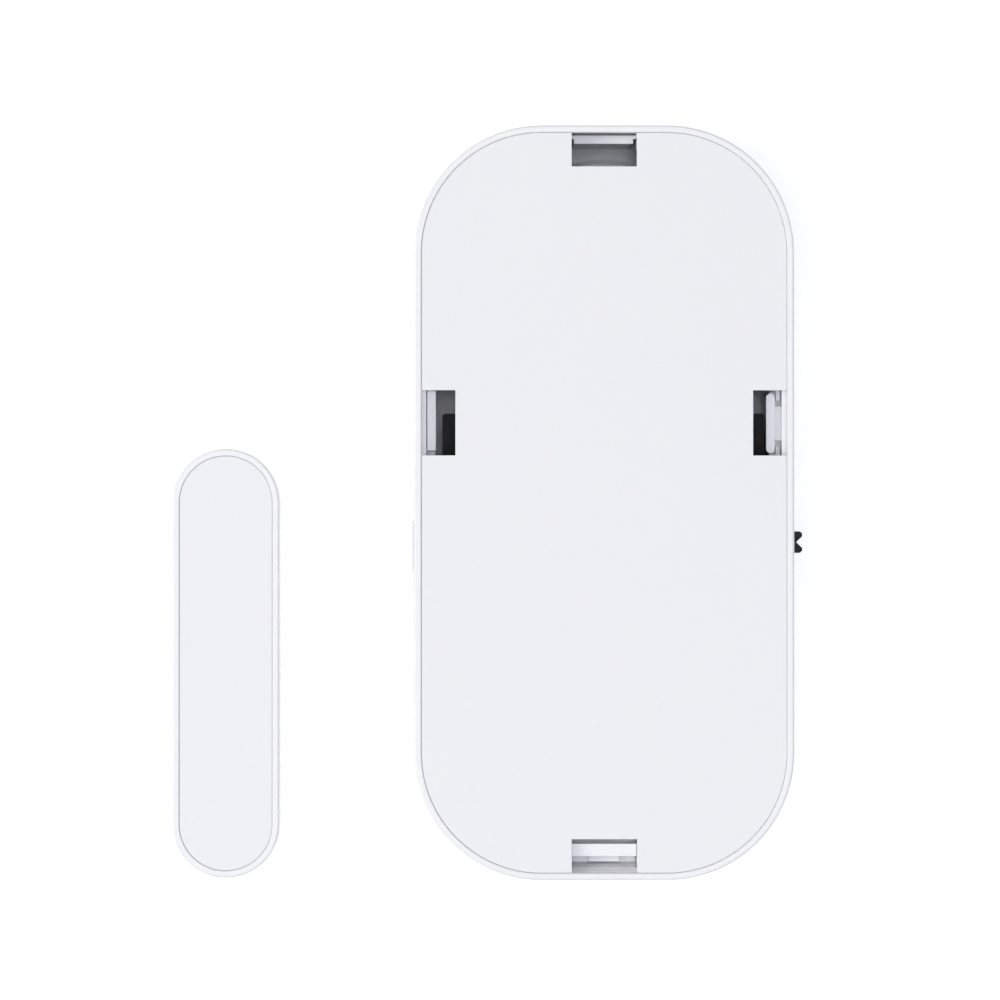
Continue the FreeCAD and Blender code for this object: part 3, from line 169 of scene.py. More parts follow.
rim_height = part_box("front_shell")[1].z
aim = Vector((AIM_X, AIM_Y, rim_height))
stand = Vector((STAND_X, STAND_Y, CAMERA_HEIGHT))
camera_data = bpy.data.cameras.new("studio_camera")
camera_data.sensor_width = SENSOR_WIDTH
camera_data.lens = SENSOR_WIDTH * (CAMERA_HEIGHT - rim_height) / VIEW_WIDTH
camera_data.clip_start = 0.01
camera_data.clip_end = 20
camera = bpy.data.objects.new("studio_camera", camera_data)
bpy.context.scene.collection.objects.link(camera)
look = (aim - stand).normalized()
right = look.cross(Vector((0, 1, 0))).normalized()
facing = Matrix((right, right.cross(look), -look)).transposed()
camera.matrix_world = Matrix.Translation(stand) @ facing.to_4x4()
bpy.context.scene.camera = camera
print("lens", round(camera_data.lens), "mm")

# %% [markdown]
# ## Floor and light
# White things are shown on a light table: a sheet of opal acrylic, lit a little from below, which washes
# out the shadows at their feet. A soft light stands at the left and a much weaker one at the right. One as
# strong as the first hangs high overhead, and it reaches down into the narrow notches. The view keeps
# plain tones, so that white plastic stays a clean cool white.

# %% Table and lights
bpy.context.scene.view_settings.view_transform = "Standard"
bpy.context.scene.view_settings.look = "None"

FLOOR_HALF = 3.0
FLOOR_GAP = 0.02 * MM
floor_mesh = bpy.data.meshes.new("table")
floor_mesh.from_pydata([(-FLOOR_HALF, -FLOOR_HALF, 0), (FLOOR_HALF, -FLOOR_HALF, 0),
                        (FLOOR_HALF, FLOOR_HALF, 0), (-FLOOR_HALF, FLOOR_HALF, 0)], [], [(0, 1, 2, 3)])
floor = bpy.data.objects.new("table", floor_mesh)
floor.location.z = -FLOOR_GAP
bpy.context.scene.collection.objects.link(floor)
opal = surface("opal_acrylic_light_table", ("F4F4F4", "F8F8F8"), (0.85, 0.95), 90, 1.5, 0.01,
               Emission_Color=linear("FFFFFF"), Emission_Strength=0.35)
floor_mesh.materials.append(opal)

world = bpy.data.worlds.new("pale_room")
world.use_nodes = True
room = world.node_tree.nodes["Background"]
room.inputs["Color"].default_value = linear("F7F8FA")
room.inputs["Strength"].default_value = 0.40
bpy.context.scene.world = world


def softbox(name, place, size, power, tone="FFFFFF"):
    """A square area light aimed at the origin that the camera itself doesn't see."""
    data = bpy.data.lights.new(name, "AREA")
    data.size = size
    data.energy = power
    data.color = linear(tone)[:3]
    lamp = bpy.data.objects.new(name, data)
    lamp.location = place
    lamp.rotation_euler = (-Vector(place)).to_track_quat("-Z", "Y").to_euler()
    lamp.visible_camera = False
    bpy.context.scene.collection.objects.link(lamp)


softbox("key_light", (-1.0, -0.1, 0.8), 0.7, 8.2, "FFFDF6")
softbox("fill_light", (0.9, -0.3, 0.8), 0.9, 1.3)
softbox("top_light", (0.0, -0.1, 1.6), 0.9, 8.8, "F3F5FF")

# %% [markdown]
# ## White ABS from a polished tool
# Both cases are ABS, injection moulded in a polished steel tool. The plastic has an index of refraction
# near 1.54, and the tool leaves a gloss with a very gentle waviness, a few millimetres across, that the eye
# reads in the highlights. White ABS lets a little light into the surface, which softens its edges, so a
# shallow subsurface is set. The colour drifts by one or two hundredths, as moulded white does.

# %% White ABS for the cases
abs_gloss = surface("abs_white_polished_mould", ("E3E3E6", "E7E7E9"), (0.16, 0.24), 26, 2.4, 0.004,
                    IOR=1.54, Subsurface_Weight=0.12, Subsurface_Scale=0.6 * MM)
finish(abs_gloss, "front_shell", "magnet_shell")

# %% [markdown]
# ## White ABS from a blasted tool
# The sunk back plates are there to take tape, so their tool is finely blasted. The grains are a few
# hundredths of a millimetre and can't be seen one by one, so they are drawn coarser, at a fifth of a
# millimetre. They give the plate an even satin, softer than the gloss of the rim.

# %% White ABS for the back plates
abs_satin = surface("abs_white_blasted_mould", ("E5E5E8", "E8E8EA"), (0.30, 0.40), 40, 0.22, 0.003,
                    IOR=1.54, Subsurface_Weight=0.1, Subsurface_Scale=0.5 * MM)
finish(abs_satin, "back_cover", "magnet_back_cover")

# %% [markdown]
# ## Black mouldings
# The battery tray is black ABS with a spark-eroded finish: round pits about a tenth of a millimetre
# wide, drawn at a quarter so that they show. The switch's nub is black nylon, smoother and a
# little shinier where fingers push it.

# %% Black ABS and black nylon
abs_black = surface("abs_black_spark_eroded", ("08080A", "0E0E10"), (0.55, 0.7), 18, 0.25, 0.02, IOR=1.54,
                    Specular_IOR_Level=0.3)
nylon_black = surface("nylon_black_moulded", ("060607", "0B0B0C"), (0.45, 0.6), 2.5, 0.2, 0.006, IOR=1.53,
                      Specular_IOR_Level=0.3)
phenolic = surface("phenolic_brown_moulded", ("3A2A1E", "4A3626"), (0.45, 0.6), 1.5, 0.2, 0.01, IOR=1.6)
finish(wear_edges(abs_black, "2A2A2D", 0.12, 0.6), "battery_tray")
finish(wear_edges(nylon_black, "242426", 0.1, 0.7), "switch_slider")
finish(phenolic, "switch_base")

# %% [markdown]
# ## Plated steel
# Contacts, screws and cell caps are steel under a thin bright plating. Rolling leaves faint lines along
# the strip, so the pattern is stretched one way. Nickel is a warm grey, zinc a bluer one. The metals keep the
# default index of refraction, because their reflection is set by their colour.

# %% Plated metals
nickel = surface("nickel_plated_spring_steel", ("B9B4AA", "CBC7BE"), (0.18, 0.30), 3.0, 0.15, 0.002,
                 stretch=(1, 0.15, 1), Metallic=1.0)
zinc = surface("zinc_plated_screw", ("A9AEB4", "C2C6CA"), (0.24, 0.38), 0.8, 0.12, 0.004, Metallic=1.0)
tin = surface("tin_plated_folded_steel", ("B5B6B2", "C6C7C4"), (0.28, 0.42), 2.0, 0.12, 0.003,
              stretch=(1, 0.2, 1), Metallic=1.0)
solder = surface("tin_solder_cooled", ("A8AAAC", "C3C5C6"), (0.22, 0.40), 0.6, 0.15, 0.006, Metallic=1.0)
iron_nickel = surface("nickel_iron_reed_strip", ("9C988E", "B0ACA2"), (0.22, 0.34), 1.5, 0.1, 0.002,
                      stretch=(1, 0.2, 1), Metallic=1.0)
magnet_plate = surface("nickel_plated_magnet", ("96958F", "ACABA5"), (0.16, 0.28), 5.0, 0.4, 0.004,
                       Metallic=1.0)
finish(nickel, "positive_terminal", "negative_terminal", "bridge_contact", "aaa_cell_left_cap",
       "aaa_cell_right_cap")
finish(wear_edges(zinc, "DDE0E2", 0.06, 0.8), "tray_screws")
finish(tin, "switch_cover")
finish(solder, "controller_leads", "switch_pins")
finish(iron_nickel, "reed_moving_blade", "reed_lead", "reed_fixed_blade")
finish(wear_edges(magnet_plate, "D2D0CA", 0.15, 0.7), "bar_magnet")

# %% [markdown]
# ## Copper, brass, bronze and aluminium
# The sounder's disc is rolled brass, the switch's wiper is phosphor bronze and the coil is wound from
# enamelled copper, whose clear enamel gives a second, sharper highlight over the metal. The storage
# capacitor is an aluminium can in a thin printed sleeve.

# %% Yellow metals and the capacitor's can
brass = surface("brass_rolled_disc", ("B08D45", "C6A25A"), (0.25, 0.38), 4.0, 0.2, 0.002,
                stretch=(1, 0.2, 1), Metallic=1.0)
bronze = surface("phosphor_bronze_strip", ("A9743C", "BC8850"), (0.25, 0.38), 1.0, 0.1, 0.002,
                 Metallic=1.0)
copper = surface("enamelled_copper_wire", ("9A4A22", "B4602E"), (0.25, 0.36), 1.2, 0.2, 0.003,
                 Metallic=1.0, Coat_Weight=0.8, Coat_Roughness=0.12)
can_sleeve = surface("printed_sleeve_on_aluminium", ("20283C", "2A3348"), (0.30, 0.42), 2.0, 0.3, 0.004,
                     IOR=1.5)
finish(brass, "piezo_disc")
finish(bronze, "switch_wiper")
finish(copper, "coil_winding")
finish(can_sleeve, "storage_capacitor")

# %% [markdown]
# ## Board, chips and ceramics
# The board is glass cloth in epoxy under a blue solder mask. Its weave, about half a millimetre from thread
# to thread, shows faintly through the mask. Chips are black epoxy with a matt moulding skin, chip resistors
# and capacitors are fired ceramic, and ferrite is a fired iron oxide, nearly black and slightly open.

# %% Board and component finishes
THREAD_PITCH_MM = 0.5


def woven_board(name):
    """Solder mask over glass cloth: two crossed bands make the weave, for colour and relief."""
    material = surface(name, ("143A78", "1A4486"), (0.28, 0.38), 6.0, 0.4, 0.004, IOR=1.5, Coat_Weight=0.3,
                       Coat_Roughness=0.2)
    tree = material.node_tree
    place = tree.nodes["Texture Coordinate"].outputs["Object"]
    thread_scale = per_mm(THREAD_PITCH_MM) / 2
    bands = [add(tree, "ShaderNodeTexWave", {"Vector": place, "Scale": thread_scale / math.pi},
                 bands_direction=direction) for direction in ("X", "Y")]
    cross = add(tree, "ShaderNodeMath", {0: bands[0].outputs["Fac"], 1: bands[1].outputs["Fac"]},
                operation="MULTIPLY")
    tone = tree.nodes["Color Ramp"].outputs["Color"]
    darker = add(tree, "ShaderNodeHueSaturation", {"Color": tone, "Value": 0.8})
    shade = add(tree, "ShaderNodeMix", {0: cross.outputs[0], 6: tone, 7: darker.outputs["Color"]},
                data_type="RGBA")
    tree.links.new(shade.outputs[2], tree.nodes["Principled BSDF"].inputs["Base Color"])
    return material


board = woven_board("glass_epoxy_blue_mask")
epoxy = surface("chip_epoxy_black", ("151517", "1D1D20"), (0.48, 0.62), 1.0, 0.1, 0.01, IOR=1.5)
alumina = surface("alumina_dark_glaze", ("1C1D20", "2A2B2F"), (0.25, 0.4), 0.6, 0.1, 0.004, IOR=1.76)
tan_ceramic = surface("barium_titanate_tan", ("8C6B46", "A07C54"), (0.35, 0.5), 0.5, 0.08, 0.004, IOR=1.7)
ferrite = surface("ferrite_fired", ("202123", "2C2D30"), (0.5, 0.65), 1.2, 0.12, 0.012, IOR=1.8)
silvered = surface("piezo_ceramic_silvered", ("C9C7BE", "DAD8D0"), (0.4, 0.5), 3.0, 0.1, 0.004,
                   Metallic=0.6)
finish(board, "circuit_board")
finish(epoxy, "controller_chip", "drive_transistor")
finish(alumina, "chip_resistors")
finish(tan_ceramic, "chip_capacitors")
finish(ferrite, "coil_core")
finish(silvered, "piezo_ceramic")

# %% [markdown]
# ## Clear parts
# The light window is clear polycarbonate, index 1.585, with a lightly frosted inner face. The reed switch
# is sealed in a green-tinted glass tube, index about 1.52, because that glass takes in the heat that seals it.
# The light-emitting chip is clear epoxy, milky with phosphor.

# %% Clear plastic and glass
polycarbonate = surface("polycarbonate_clear_frosted", ("EDF1F4", "F4F7F9"), (0.12, 0.22), 1.5, 0.3, 0.004,
                        IOR=1.585, Transmission_Weight=0.9)
sealing_glass = surface("sealing_glass_green", ("BFDCC6", "CBE6D2"), (0.03, 0.08), 2.0, 0.5, 0.002,
                        IOR=1.52, Transmission_Weight=0.95)
phosphor = surface("led_epoxy_milky", ("E8E0B8", "F0EACB"), (0.2, 0.3), 0.5, 0.1, 0.003,
                   IOR=1.53, Subsurface_Weight=0.3, Subsurface_Scale=0.3 * MM)
finish(polycarbonate, "led_lens")
finish(sealing_glass, "reed_glass")
finish(phosphor, "indicator_led")

# %% [markdown]
# ## The sounder's cup, the wires and the foam
# The cup and its ring are unpainted moulded plastic of a natural grey-white. The two wires have a soft PVC
# skin. The pad behind the magnet is closed-cell foam, with cells of about a third of a millimetre.

# %% Cup, wires and foam
cup_plastic = surface("polystyrene_white_moulded", ("D5D6DA", "DEDFE2"), (0.35, 0.48), 9.0, 0.3, 0.006,
                      IOR=1.59)
red_pvc = surface("pvc_red_extruded", ("A41D16", "B62A20"), (0.32, 0.42), 3.0, 0.3, 0.006, IOR=1.53)
black_pvc = surface("pvc_black_extruded", ("141415", "1E1E20"), (0.32, 0.42), 3.0, 0.3, 0.006, IOR=1.53)
foam = surface("foam_closed_cell_grey", ("4A4B4F", "5E5F63"), (0.85, 0.95), 0.8, 0.33, 0.12, IOR=1.45)
finish(cup_plastic, "sounder_case", "sounder_ring")
finish(red_pvc, "sounder_wire_red")
finish(black_pvc, "sounder_wire_black")
finish(foam, "magnet_foam_pad")

# %% [markdown]
# ## The cells' printed sleeves
# An AAA cell wears a shrunk plastic sleeve, printed in a solid colour with a metallic band at the positive end.
# The band's place is worked out along the cell's length, and the two cells lie head to tail, so each has
# its own material with the band at its own end.

# %% Sleeves with a band at the positive end
BAND_SHARE = 0.2
BAND_METALLIC = 0.85


def cell_sleeve(name, cell, positive_up):
    """Slate sleeve with a silver band over the part of the can that is nearest its cap."""
    material = surface(name, ("22384F", "2A425B"), (0.24, 0.30), 7.0, 0.6, 0.0008, IOR=1.5, Coat_Weight=0.4,
                       Coat_Roughness=0.1)
    low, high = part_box(cell)
    band_length = BAND_SHARE * (high.y - low.y)
    edge = high.y - band_length if positive_up else low.y + band_length
    tree = material.node_tree
    spot = add(tree, "ShaderNodeSeparateXYZ", {"Vector": tree.nodes["Texture Coordinate"].outputs["Object"]})
    side = add(tree, "ShaderNodeMath", {0: spot.outputs["Y"], 1: edge},
               operation="GREATER_THAN" if positive_up else "LESS_THAN")
    band = add(tree, "ShaderNodeMix", {"Factor": side.outputs[0]}, data_type="RGBA")
    tree.links.new(tree.nodes["Color Ramp"].outputs["Color"], band.inputs[6])
    band.inputs[7].default_value = linear("B9BCC0")
    skin = tree.nodes["Principled BSDF"]
    tree.links.new(band.outputs[2], skin.inputs["Base Color"])
    shine = add(tree, "ShaderNodeMath", {0: side.outputs[0], 1: BAND_METALLIC}, operation="MULTIPLY")
    tree.links.new(shine.outputs[0], skin.inputs["Metallic"])
    return material


finish(cell_sleeve("printed_sleeve_cap_up", "aaa_cell_left", True), "aaa_cell_left")
finish(cell_sleeve("printed_sleeve_cap_down", "aaa_cell_right", False), "aaa_cell_right")

# %% [markdown]
# ## Making small pieces in mesh code
# The smallest parts are easier to model here than in the solid program, because they follow the shape that
# they sit on. Each is a real mesh, welded and closed, and it rides on the body that it is fixed to. A
# tube is swept along a line of points, with its ring carried from point to point so that it never twists.

# %% Mesh helpers
def mesh_piece(name, shape, material, body, smooth=True):
    """Turn a bmesh into an object with one finish that rides on a body."""
    bmesh.ops.recalc_face_normals(shape, faces=shape.faces)
    mesh = bpy.data.meshes.new(name)
    shape.to_mesh(mesh)
    shape.free()
    mesh.materials.append(material)
    for polygon in mesh.polygons:
        polygon.use_smooth = smooth
    piece = bpy.data.objects.new(name, mesh)
    bpy.context.scene.collection.objects.link(piece)
    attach(piece, body)
    print(name, len(mesh.polygons), "faces")
    return piece


def sweep(shape, points, radius, sides=12):
    """Add a capped tube that follows the points."""
    points = [Vector(point) for point in points]
    across = None
    rings = []
    for i, point in enumerate(points):
        along = (points[min(i + 1, len(points) - 1)] - points[max(i - 1, 0)]).normalized()
        if across is None:
            across = along.orthogonal().normalized()
        across = (across - along * across.dot(along)).normalized()
        other = along.cross(across)
        rings.append([shape.verts.new(point + radius * (math.cos(angle) * across + math.sin(angle) * other))
                      for angle in (2 * math.pi * k / sides for k in range(sides))])
    for first, second in zip(rings, rings[1:]):
        for k in range(sides):
            shape.faces.new((first[k], first[(k + 1) % sides], second[(k + 1) % sides], second[k]))
    shape.faces.new(rings[0])
    shape.faces.new(rings[-1])


def slab(shape, low, high, rounding=0.0):
    """Add a box between two corners, with its edges rounded."""
    low, high = Vector(low), Vector(high)
    size = high - low
    made = bmesh.ops.create_cube(shape, size=1)["verts"]
    bmesh.ops.scale(shape, vec=size, verts=made)
    bmesh.ops.translate(shape, vec=(low + high) / 2, verts=made)
    if rounding:
        edges = list({edge for vert in made for edge in vert.link_edges})
        bmesh.ops.bevel(shape, geom=edges, offset=rounding, segments=2, affect="EDGES")


def turned_piece(shape, centre, profile, sides=24):
    """Add a closed solid turned about a vertical axis from (radius, height) pairs, bottom to top."""
    centre = Vector(centre)
    rings = []
    angles = [2 * math.pi * k / sides for k in range(sides)]
    for radius, height in profile:
        ring = [centre + Vector((radius * math.cos(angle), radius * math.sin(angle), height))
                for angle in angles]
        rings.append([shape.verts.new(point) for point in ring])
    for first, second in zip(rings, rings[1:]):
        for k in range(sides):
            shape.faces.new((first[k], first[(k + 1) % sides], second[(k + 1) % sides], second[k]))
    shape.faces.new(rings[0])
    shape.faces.new(rings[-1])


def separate_parts(node):
    """The boxes (lowest corner, highest corner) of a node's unconnected parts."""
    shape = bmesh.new()
    shape.from_mesh(nodes[node].data)
    bmesh.ops.remove_doubles(shape, verts=shape.verts, dist=0.001 * MM)
    left = set(shape.verts)
    boxes = []
    while left:
        group, edge_of_search = set(), [left.pop()]
        while edge_of_search:
            vert = edge_of_search.pop()
            group.add(vert)
            for edge in vert.link_edges:
                other = edge.other_vert(vert)
                if other in left:
                    left.discard(other)
                    edge_of_search.append(other)
        corners = [vert.co for vert in group]
        boxes.append((Vector([min(c[i] for c in corners) for i in range(3)]),
                      Vector([max(c[i] for c in corners) for i in range(3)])))
    shape.free()
    return sorted(boxes, key=lambda box: (round(box[0].x, 5), round(box[0].y, 5)))


board_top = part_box("circuit_board")[1].z
print("board top at", round(board_top / MM, 2), "mm")

# %% [markdown]
# ## The coil's turns
# The coil that drives the sounder is a ferrite bobbin wound with enamelled copper about a quarter of a
# millimetre thick. The solid model has one plain ring for the winding. Here it is replaced by a single
# wire that climbs round the bobbin, each turn resting on the last, which is what catches the light.

# %% Wind the coil
coil_low, coil_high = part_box("coil_winding")
coil_centre = (coil_low + coil_high) / 2
coil_wire = 0.26 * MM
coil_radius = (coil_high.x - coil_low.x) / 2 - coil_wire / 2
turns = int((coil_high.z - coil_low.z - coil_wire) / coil_wire)
STEPS_PER_TURN = 40
rise = (coil_high.z - coil_low.z - coil_wire) / (turns * STEPS_PER_TURN)
coil_path = [(coil_centre.x + coil_radius * math.cos(2 * math.pi * k / STEPS_PER_TURN),
              coil_centre.y + coil_radius * math.sin(2 * math.pi * k / STEPS_PER_TURN),
              coil_low.z + coil_wire / 2 + k * rise) for k in range(turns * STEPS_PER_TURN + 1)]
coil_shape = bmesh.new()
sweep(coil_shape, coil_path, coil_wire * 0.49, sides=8)
coil_turns = mesh_piece("coil_turns", coil_shape, copper, "sensor_case")
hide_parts("coil_winding")
print(turns, "turns")

# %% [markdown]
# ## The sounder's two wires
# Thin stranded wires are soft: they leave the board straight up, lean over the sounder's edge in one
# bow and drop to its back. The solid model has them as straight lengths. A smooth curve through the same
# corners gives the slack that a wire soldered by hand has.

# %% Bend the wires
def smooth_path(corners, steps=12):
    """Points on a Catmull-Rom curve through the corners, whose first and last are used twice."""
    corners = [Vector(corner) for corner in corners]
    ends_twice = [corners[0]] + corners + [corners[-1]]
    path = []
    for a, b, c, d in zip(ends_twice, ends_twice[1:], ends_twice[2:], ends_twice[3:]):
        for k in range(steps):
            t = k / steps
            path.append(0.5 * (2 * b + (c - a) * t + (2 * a - 5 * b + 4 * c - d) * t * t
                               + (3 * b - a - 3 * c + d) * t * t * t))
    return path + [corners[-1]]


LEAD_RADIUS = 0.45 * MM


def sounder_lead(name, node, side, material):
    """One wire from its pad on the board to the sounder's back, bowed a little outwards."""
    low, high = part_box(node)
    outer = high.x - LEAD_RADIUS if side > 0 else low.x + LEAD_RADIUS
    inner = low.x + LEAD_RADIUS if side > 0 else high.x - LEAD_RADIUS
    foot = Vector((outer, low.y + LEAD_RADIUS, board_top))
    end = Vector((inner, high.y - LEAD_RADIUS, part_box("sounder_case")[1].z))
    top = high.z - LEAD_RADIUS
    corners = [foot, foot + Vector((0, 0, 0.6 * (top - foot.z))),
               Vector((outer - side * 0.6 * MM, foot.y + 1.6 * MM, top)),
               Vector(((outer + inner) / 2 + side * 0.5 * MM, (foot.y + end.y) / 2 + 0.4 * MM, top)),
               Vector((inner, end.y - 0.8 * MM, top - 0.15 * MM)), end]
    shape = bmesh.new()
    sweep(shape, smooth_path(corners), LEAD_RADIUS, sides=14)
    lead = mesh_piece(name, shape, material, "sensor_case")
    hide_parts(node)
    return foot, end


lead_ends = [sounder_lead("sounder_lead_red", "sounder_wire_red", 1, red_pvc),
             sounder_lead("sounder_lead_black", "sounder_wire_black", -1, black_pvc)]

# %% [markdown]
# ## Solder
# Every joint that was soldered by hand has a small bright fillet: wide at the pad, hollow in its flank and
# steep at the pin. It is turned as a solid from that profile. Machine-soldered chip parts have a thin
# tinned cap folded round each end instead.

# %% Solder fillets and chip end caps
FILLET = [(1.0, 0.0), (0.98, 0.06), (0.72, 0.2), (0.5, 0.42), (0.36, 0.7), (0.2, 0.8)]


def fillet(shape, centre, radius):
    """A hollow-flanked cone of solder on the board."""
    turned_piece(shape, centre, [(radius * r, radius * h) for r, h in FILLET], sides=20)


joints_shape = bmesh.new()
for foot, end in lead_ends:
    fillet(joints_shape, foot, 1.0 * MM)
    fillet(joints_shape, end - Vector((0, 0, 0.02 * MM)), 0.8 * MM)
for low, high in separate_parts("controller_leads"):
    middle = (low + high) / 2
    fillet(joints_shape, (middle.x, middle.y, board_top), min(high.x - low.x, high.y - low.y) * 0.9)
mesh_piece("solder_joints", joints_shape, solder, "sensor_case")

caps_shape = bmesh.new()
SKIN = 0.03 * MM
for chip_node in ("chip_resistors", "chip_capacitors"):
    for low, high in separate_parts(chip_node):
        axis = 0 if high.x - low.x > high.y - low.y else 1
        cap_length = 0.2 * (high[axis] - low[axis])
        for at_high_end in (False, True):
            cap_low = low - Vector((SKIN, SKIN, 0))
            cap_high = high + Vector((SKIN, SKIN, SKIN))
            if at_high_end:
                cap_low[axis] = high[axis] - cap_length
            else:
                cap_high[axis] = low[axis] + cap_length
            slab(caps_shape, cap_low, cap_high, rounding=0.05 * MM)
mesh_piece("chip_end_caps", caps_shape, solder, "sensor_case", smooth=False)

# %% [markdown]
# ## The capacitor's top and the tray's moulded signs
# The sleeve of an electrolytic capacitor leaves the can's bright aluminium top bare, and the top is
# scored with a cross so that it can vent. The tray has raised plus and minus signs beside the cells'
# ends, moulded in its own black, to show which way round each cell goes.

# %% Scored top and moulded signs
aluminium = surface("aluminium_drawn_can_top", ("B4B7BA", "CACCCF"), (0.25, 0.38), 1.5, 0.12, 0.002,
                    Metallic=1.0)
can_low, can_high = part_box("storage_capacitor")
can_axis = ((can_low + can_high) / 2).xy.to_3d()
can_radius = (can_high.x - can_low.x) / 2
DISC_THICK = 0.06 * MM
DISC_SHARE = 0.8
SCORE = 0.12 * MM
SCORE_ANGLE, ARC_STEPS = 4, 12
top_shape = bmesh.new()
for quarter in range(4):
    start = quarter * math.pi / 2
    inner = can_axis + SCORE * Vector((math.cos(start + math.pi / 4), math.sin(start + math.pi / 4), 0))
    angles = [start + math.radians(SCORE_ANGLE + (90 - 2 * SCORE_ANGLE) * k / ARC_STEPS)
              for k in range(ARC_STEPS + 1)]
    rim = [inner] + [can_axis + DISC_SHARE * can_radius * Vector((math.cos(angle), math.sin(angle), 0))
                     for angle in angles]
    lower = [top_shape.verts.new((p.x, p.y, can_high.z - DISC_THICK)) for p in rim]
    upper = [top_shape.verts.new((p.x, p.y, can_high.z + DISC_THICK)) for p in rim]
    top_shape.faces.new(upper)
    top_shape.faces.new(lower)
    for k in range(len(rim)):
        after = (k + 1) % len(rim)
        top_shape.faces.new((lower[k], lower[after], upper[after], upper[k]))
mesh_piece("capacitor_scored_top", top_shape, aluminium, "sensor_case", smooth=False)

signs_shape = bmesh.new()
SIGN_ARM, SIGN_STROKE, SIGN_LIFT = 1.1 * MM, 0.22 * MM, 0.15 * MM
SIGN_EDGE = 0.05 * MM
# The screw heads and the signs stand on the flange at this height.
FLANGE_TOP = 12.9 * MM
SIGN_BESIDE_CELL, SIGN_FROM_END = 3.4 * MM, 9 * MM


def sign(shape, x, y, plus):
    """A raised minus, or a plus when asked for, on the tray's flange."""
    slab(shape, (x - SIGN_ARM, y - SIGN_STROKE, FLANGE_TOP - SIGN_LIFT),
         (x + SIGN_ARM, y + SIGN_STROKE, FLANGE_TOP + SIGN_LIFT), rounding=SIGN_EDGE)
    if plus:
        for near, far in ((-SIGN_ARM, -SIGN_STROKE), (SIGN_STROKE, SIGN_ARM)):
            slab(shape, (x - SIGN_STROKE, y + near, FLANGE_TOP - SIGN_LIFT),
                 (x + SIGN_STROKE, y + far, FLANGE_TOP + SIGN_LIFT), rounding=SIGN_EDGE)


for cell, cap_up in (("aaa_cell_left", True), ("aaa_cell_right", False)):
    low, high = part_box(cell)
    outward = -1 if cap_up else 1
    x = (low.x if cap_up else high.x) + outward * SIGN_BESIDE_CELL
    sign(signs_shape, x, high.y - SIGN_FROM_END, cap_up)
    sign(signs_shape, x, low.y + SIGN_FROM_END, not cap_up)
mesh_piece("tray_polarity_signs", signs_shape, abs_black, "sensor_case", smooth=False)

# %% [markdown]
# ## Tracks and white print on the board
# Copper tracks are 35 micrometres thick under the mask, so they show as slightly raised, lighter lines.
# The white print is ink, thinner still, and it outlines each part for whoever checks the board. It carries
# no letters here. Both are drawn a little thicker than life, so that they stay clear of the board's own face.

# %% Tracks and outlines
track_mask = surface("blue_mask_over_copper", ("2A5AA6", "3264B0"), (0.22, 0.32), 4.0, 0.3, 0.003, IOR=1.5,
                     Coat_Weight=0.3, Coat_Roughness=0.15)
print_ink = surface("white_epoxy_ink_printed", ("DADBD6", "E6E6E2"), (0.5, 0.62), 1.0, 0.12, 0.006, IOR=1.5)
TRACK_LIFT = 0.05 * MM
INK_LIFT = 0.04 * MM
BELOW_FACE = 0.01 * MM
TRACK_WIDTH, POWER_TRACK_WIDTH = 0.25 * MM, 0.6 * MM


def run_track(shape, corners, width):
    """A flat line of square-ended strips that follows corners on the board."""
    for (x0, y0), (x1, y1) in zip(corners, corners[1:]):
        slab(shape, (min(x0, x1) - width / 2, min(y0, y1) - width / 2, board_top - BELOW_FACE),
             (max(x0, x1) + width / 2, max(y0, y1) + width / 2, board_top + TRACK_LIFT))


def outline(shape, low, high, margin, width=0.16 * MM):
    """A printed rectangle round a part's footprint."""
    x0, x1 = low.x - margin, high.x + margin
    y0, y1 = low.y - margin, high.y + margin
    floor_z, lid_z = board_top - BELOW_FACE, board_top + INK_LIFT
    for bar_low, bar_high in (((x0, y0), (x1, y0 + width)), ((x0, y1 - width), (x1, y1)),
                              ((x0, y0 + width), (x0 + width, y1 - width)),
                              ((x1 - width, y0 + width), (x1, y1 - width))):
        slab(shape, (*bar_low, floor_z), (*bar_high, lid_z))


leads = separate_parts("controller_leads")
targets = [(low + high) / 2 for node in ("chip_resistors", "chip_capacitors", "switch_pins")
           for low, high in separate_parts(node)]
tracks_shape = bmesh.new()
for lead_box, target in zip(leads, targets):
    start = (lead_box[0] + lead_box[1]) / 2
    run_track(tracks_shape, [(start.x, start.y), (start.x, target.y), (target.x, target.y)], TRACK_WIDTH)
for foot, _ in lead_ends:
    run_track(tracks_shape, [(foot.x, foot.y), (coil_centre.x, foot.y)], POWER_TRACK_WIDTH)
mesh_piece("board_tracks", tracks_shape, track_mask, "sensor_case", smooth=False)

ink_shape = bmesh.new()
for node in ("controller_chip", "drive_transistor", "coil_core", "storage_capacitor", "switch_base"):
    outline(ink_shape, *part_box(node), 0.45 * MM)
for node in ("chip_resistors", "chip_capacitors"):
    for low, high in separate_parts(node):
        outline(ink_shape, low, high, 0.25 * MM, 0.12 * MM)
mesh_piece("board_print", ink_shape, print_ink, "sensor_case", smooth=False)

# %% [markdown]
# ## Marks on the cells
# Each cell has a plus printed near its cap and a minus near its flat end, and the sleeve's shrunk edge
# rolls over the can as a thin lip. The marks are thin patches bent to the can's own radius. There is no
# name or type on them.

# %% Polarity marks and sleeve lips
mark_ink = surface("light_ink_on_sleeve", ("D4D7DA", "E2E4E6"), (0.3, 0.4), 2.0, 0.2, 0.002, IOR=1.5)
sleeve_skin = surface("shrunk_sleeve_edge", ("1E3246", "263C52"), (0.25, 0.35), 3.0, 0.3, 0.003, IOR=1.5)


INK_BOTTOM, INK_TOP = 0.005 * MM, 0.03 * MM


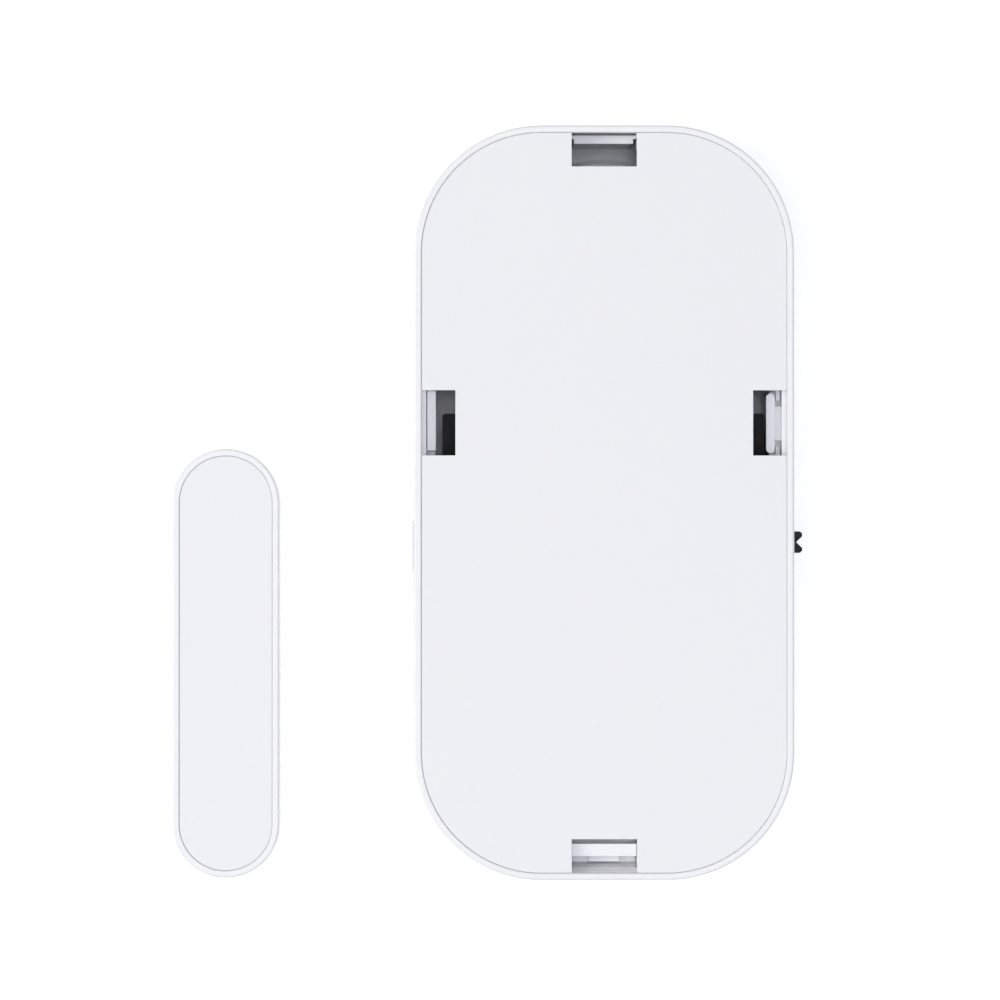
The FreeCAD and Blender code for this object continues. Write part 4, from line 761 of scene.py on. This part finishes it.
def bent_patch(shape, axis_x, axis_z, radius, y_range, arc_range, steps=6):
    """A thin patch on a cylinder that lies along Y. Arc 0 is straight up, and arcs are lengths."""
    layers = []
    for lift in (INK_BOTTOM, INK_TOP):
        layers.append([[shape.verts.new((axis_x + (radius + lift) * math.sin(arc / radius), y,
                                         axis_z + (radius + lift) * math.cos(arc / radius)))
                        for arc in (arc_range[0] + (arc_range[1] - arc_range[0]) * k / steps
                                    for k in range(steps + 1))] for y in y_range])
    (low_a, low_b), (top_a, top_b) = layers
    for k in range(steps):
        shape.faces.new((top_a[k], top_a[k + 1], top_b[k + 1], top_b[k]))
        shape.faces.new((low_a[k], low_b[k], low_b[k + 1], low_a[k + 1]))
        shape.faces.new((low_a[k], low_a[k + 1], top_a[k + 1], top_a[k]))
        shape.faces.new((low_b[k], top_b[k], top_b[k + 1], low_b[k + 1]))
    for k in (0, steps):
        shape.faces.new((low_a[k], top_a[k], top_b[k], low_b[k]))


MARK_ARM, MARK_STROKE = 2.0 * MM, 0.35 * MM
PLUS_FROM_CAP, MINUS_FROM_END = 13 * MM, 5 * MM
LIP, LIP_STEPS = 0.12 * MM, 48


def mark_cell(side, cell, body, cap_up):
    """A plus, a minus and the two rolled lips of one cell."""
    low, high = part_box(cell)
    radius = (high.x - low.x) / 2
    axis_x, axis_z = (low.x + high.x) / 2, (low.z + high.z) / 2
    plus_y = high.y - PLUS_FROM_CAP if cap_up else low.y + PLUS_FROM_CAP
    minus_y = low.y + MINUS_FROM_END if cap_up else high.y - MINUS_FROM_END
    shape = bmesh.new()
    arm, stroke = MARK_ARM, MARK_STROKE
    bent_patch(shape, axis_x, axis_z, radius, (plus_y - stroke, plus_y + stroke), (-arm, arm))
    bent_patch(shape, axis_x, axis_z, radius, (plus_y - arm, plus_y - stroke), (-stroke, stroke), steps=2)
    bent_patch(shape, axis_x, axis_z, radius, (plus_y + stroke, plus_y + arm), (-stroke, stroke), steps=2)
    bent_patch(shape, axis_x, axis_z, radius, (minus_y - stroke, minus_y + stroke), (-arm, arm))
    mesh_piece(f"{side}_cell_marks", shape, mark_ink, body, smooth=False)
    lips = bmesh.new()
    lip_radius = radius - LIP * 0.6
    for y in (low.y + LIP, high.y - LIP):
        circle = [(axis_x + lip_radius * math.cos(angle), y, axis_z + lip_radius * math.sin(angle))
                  for angle in (2 * math.pi * k / LIP_STEPS for k in range(LIP_STEPS + 1))]
        sweep(lips, circle, LIP, sides=8)
    mesh_piece(f"{side}_cell_lips", lips, sleeve_skin, body)


mark_cell("left", "aaa_cell_left", "left_cell", True)
mark_cell("right", "aaa_cell_right", "right_cell", False)
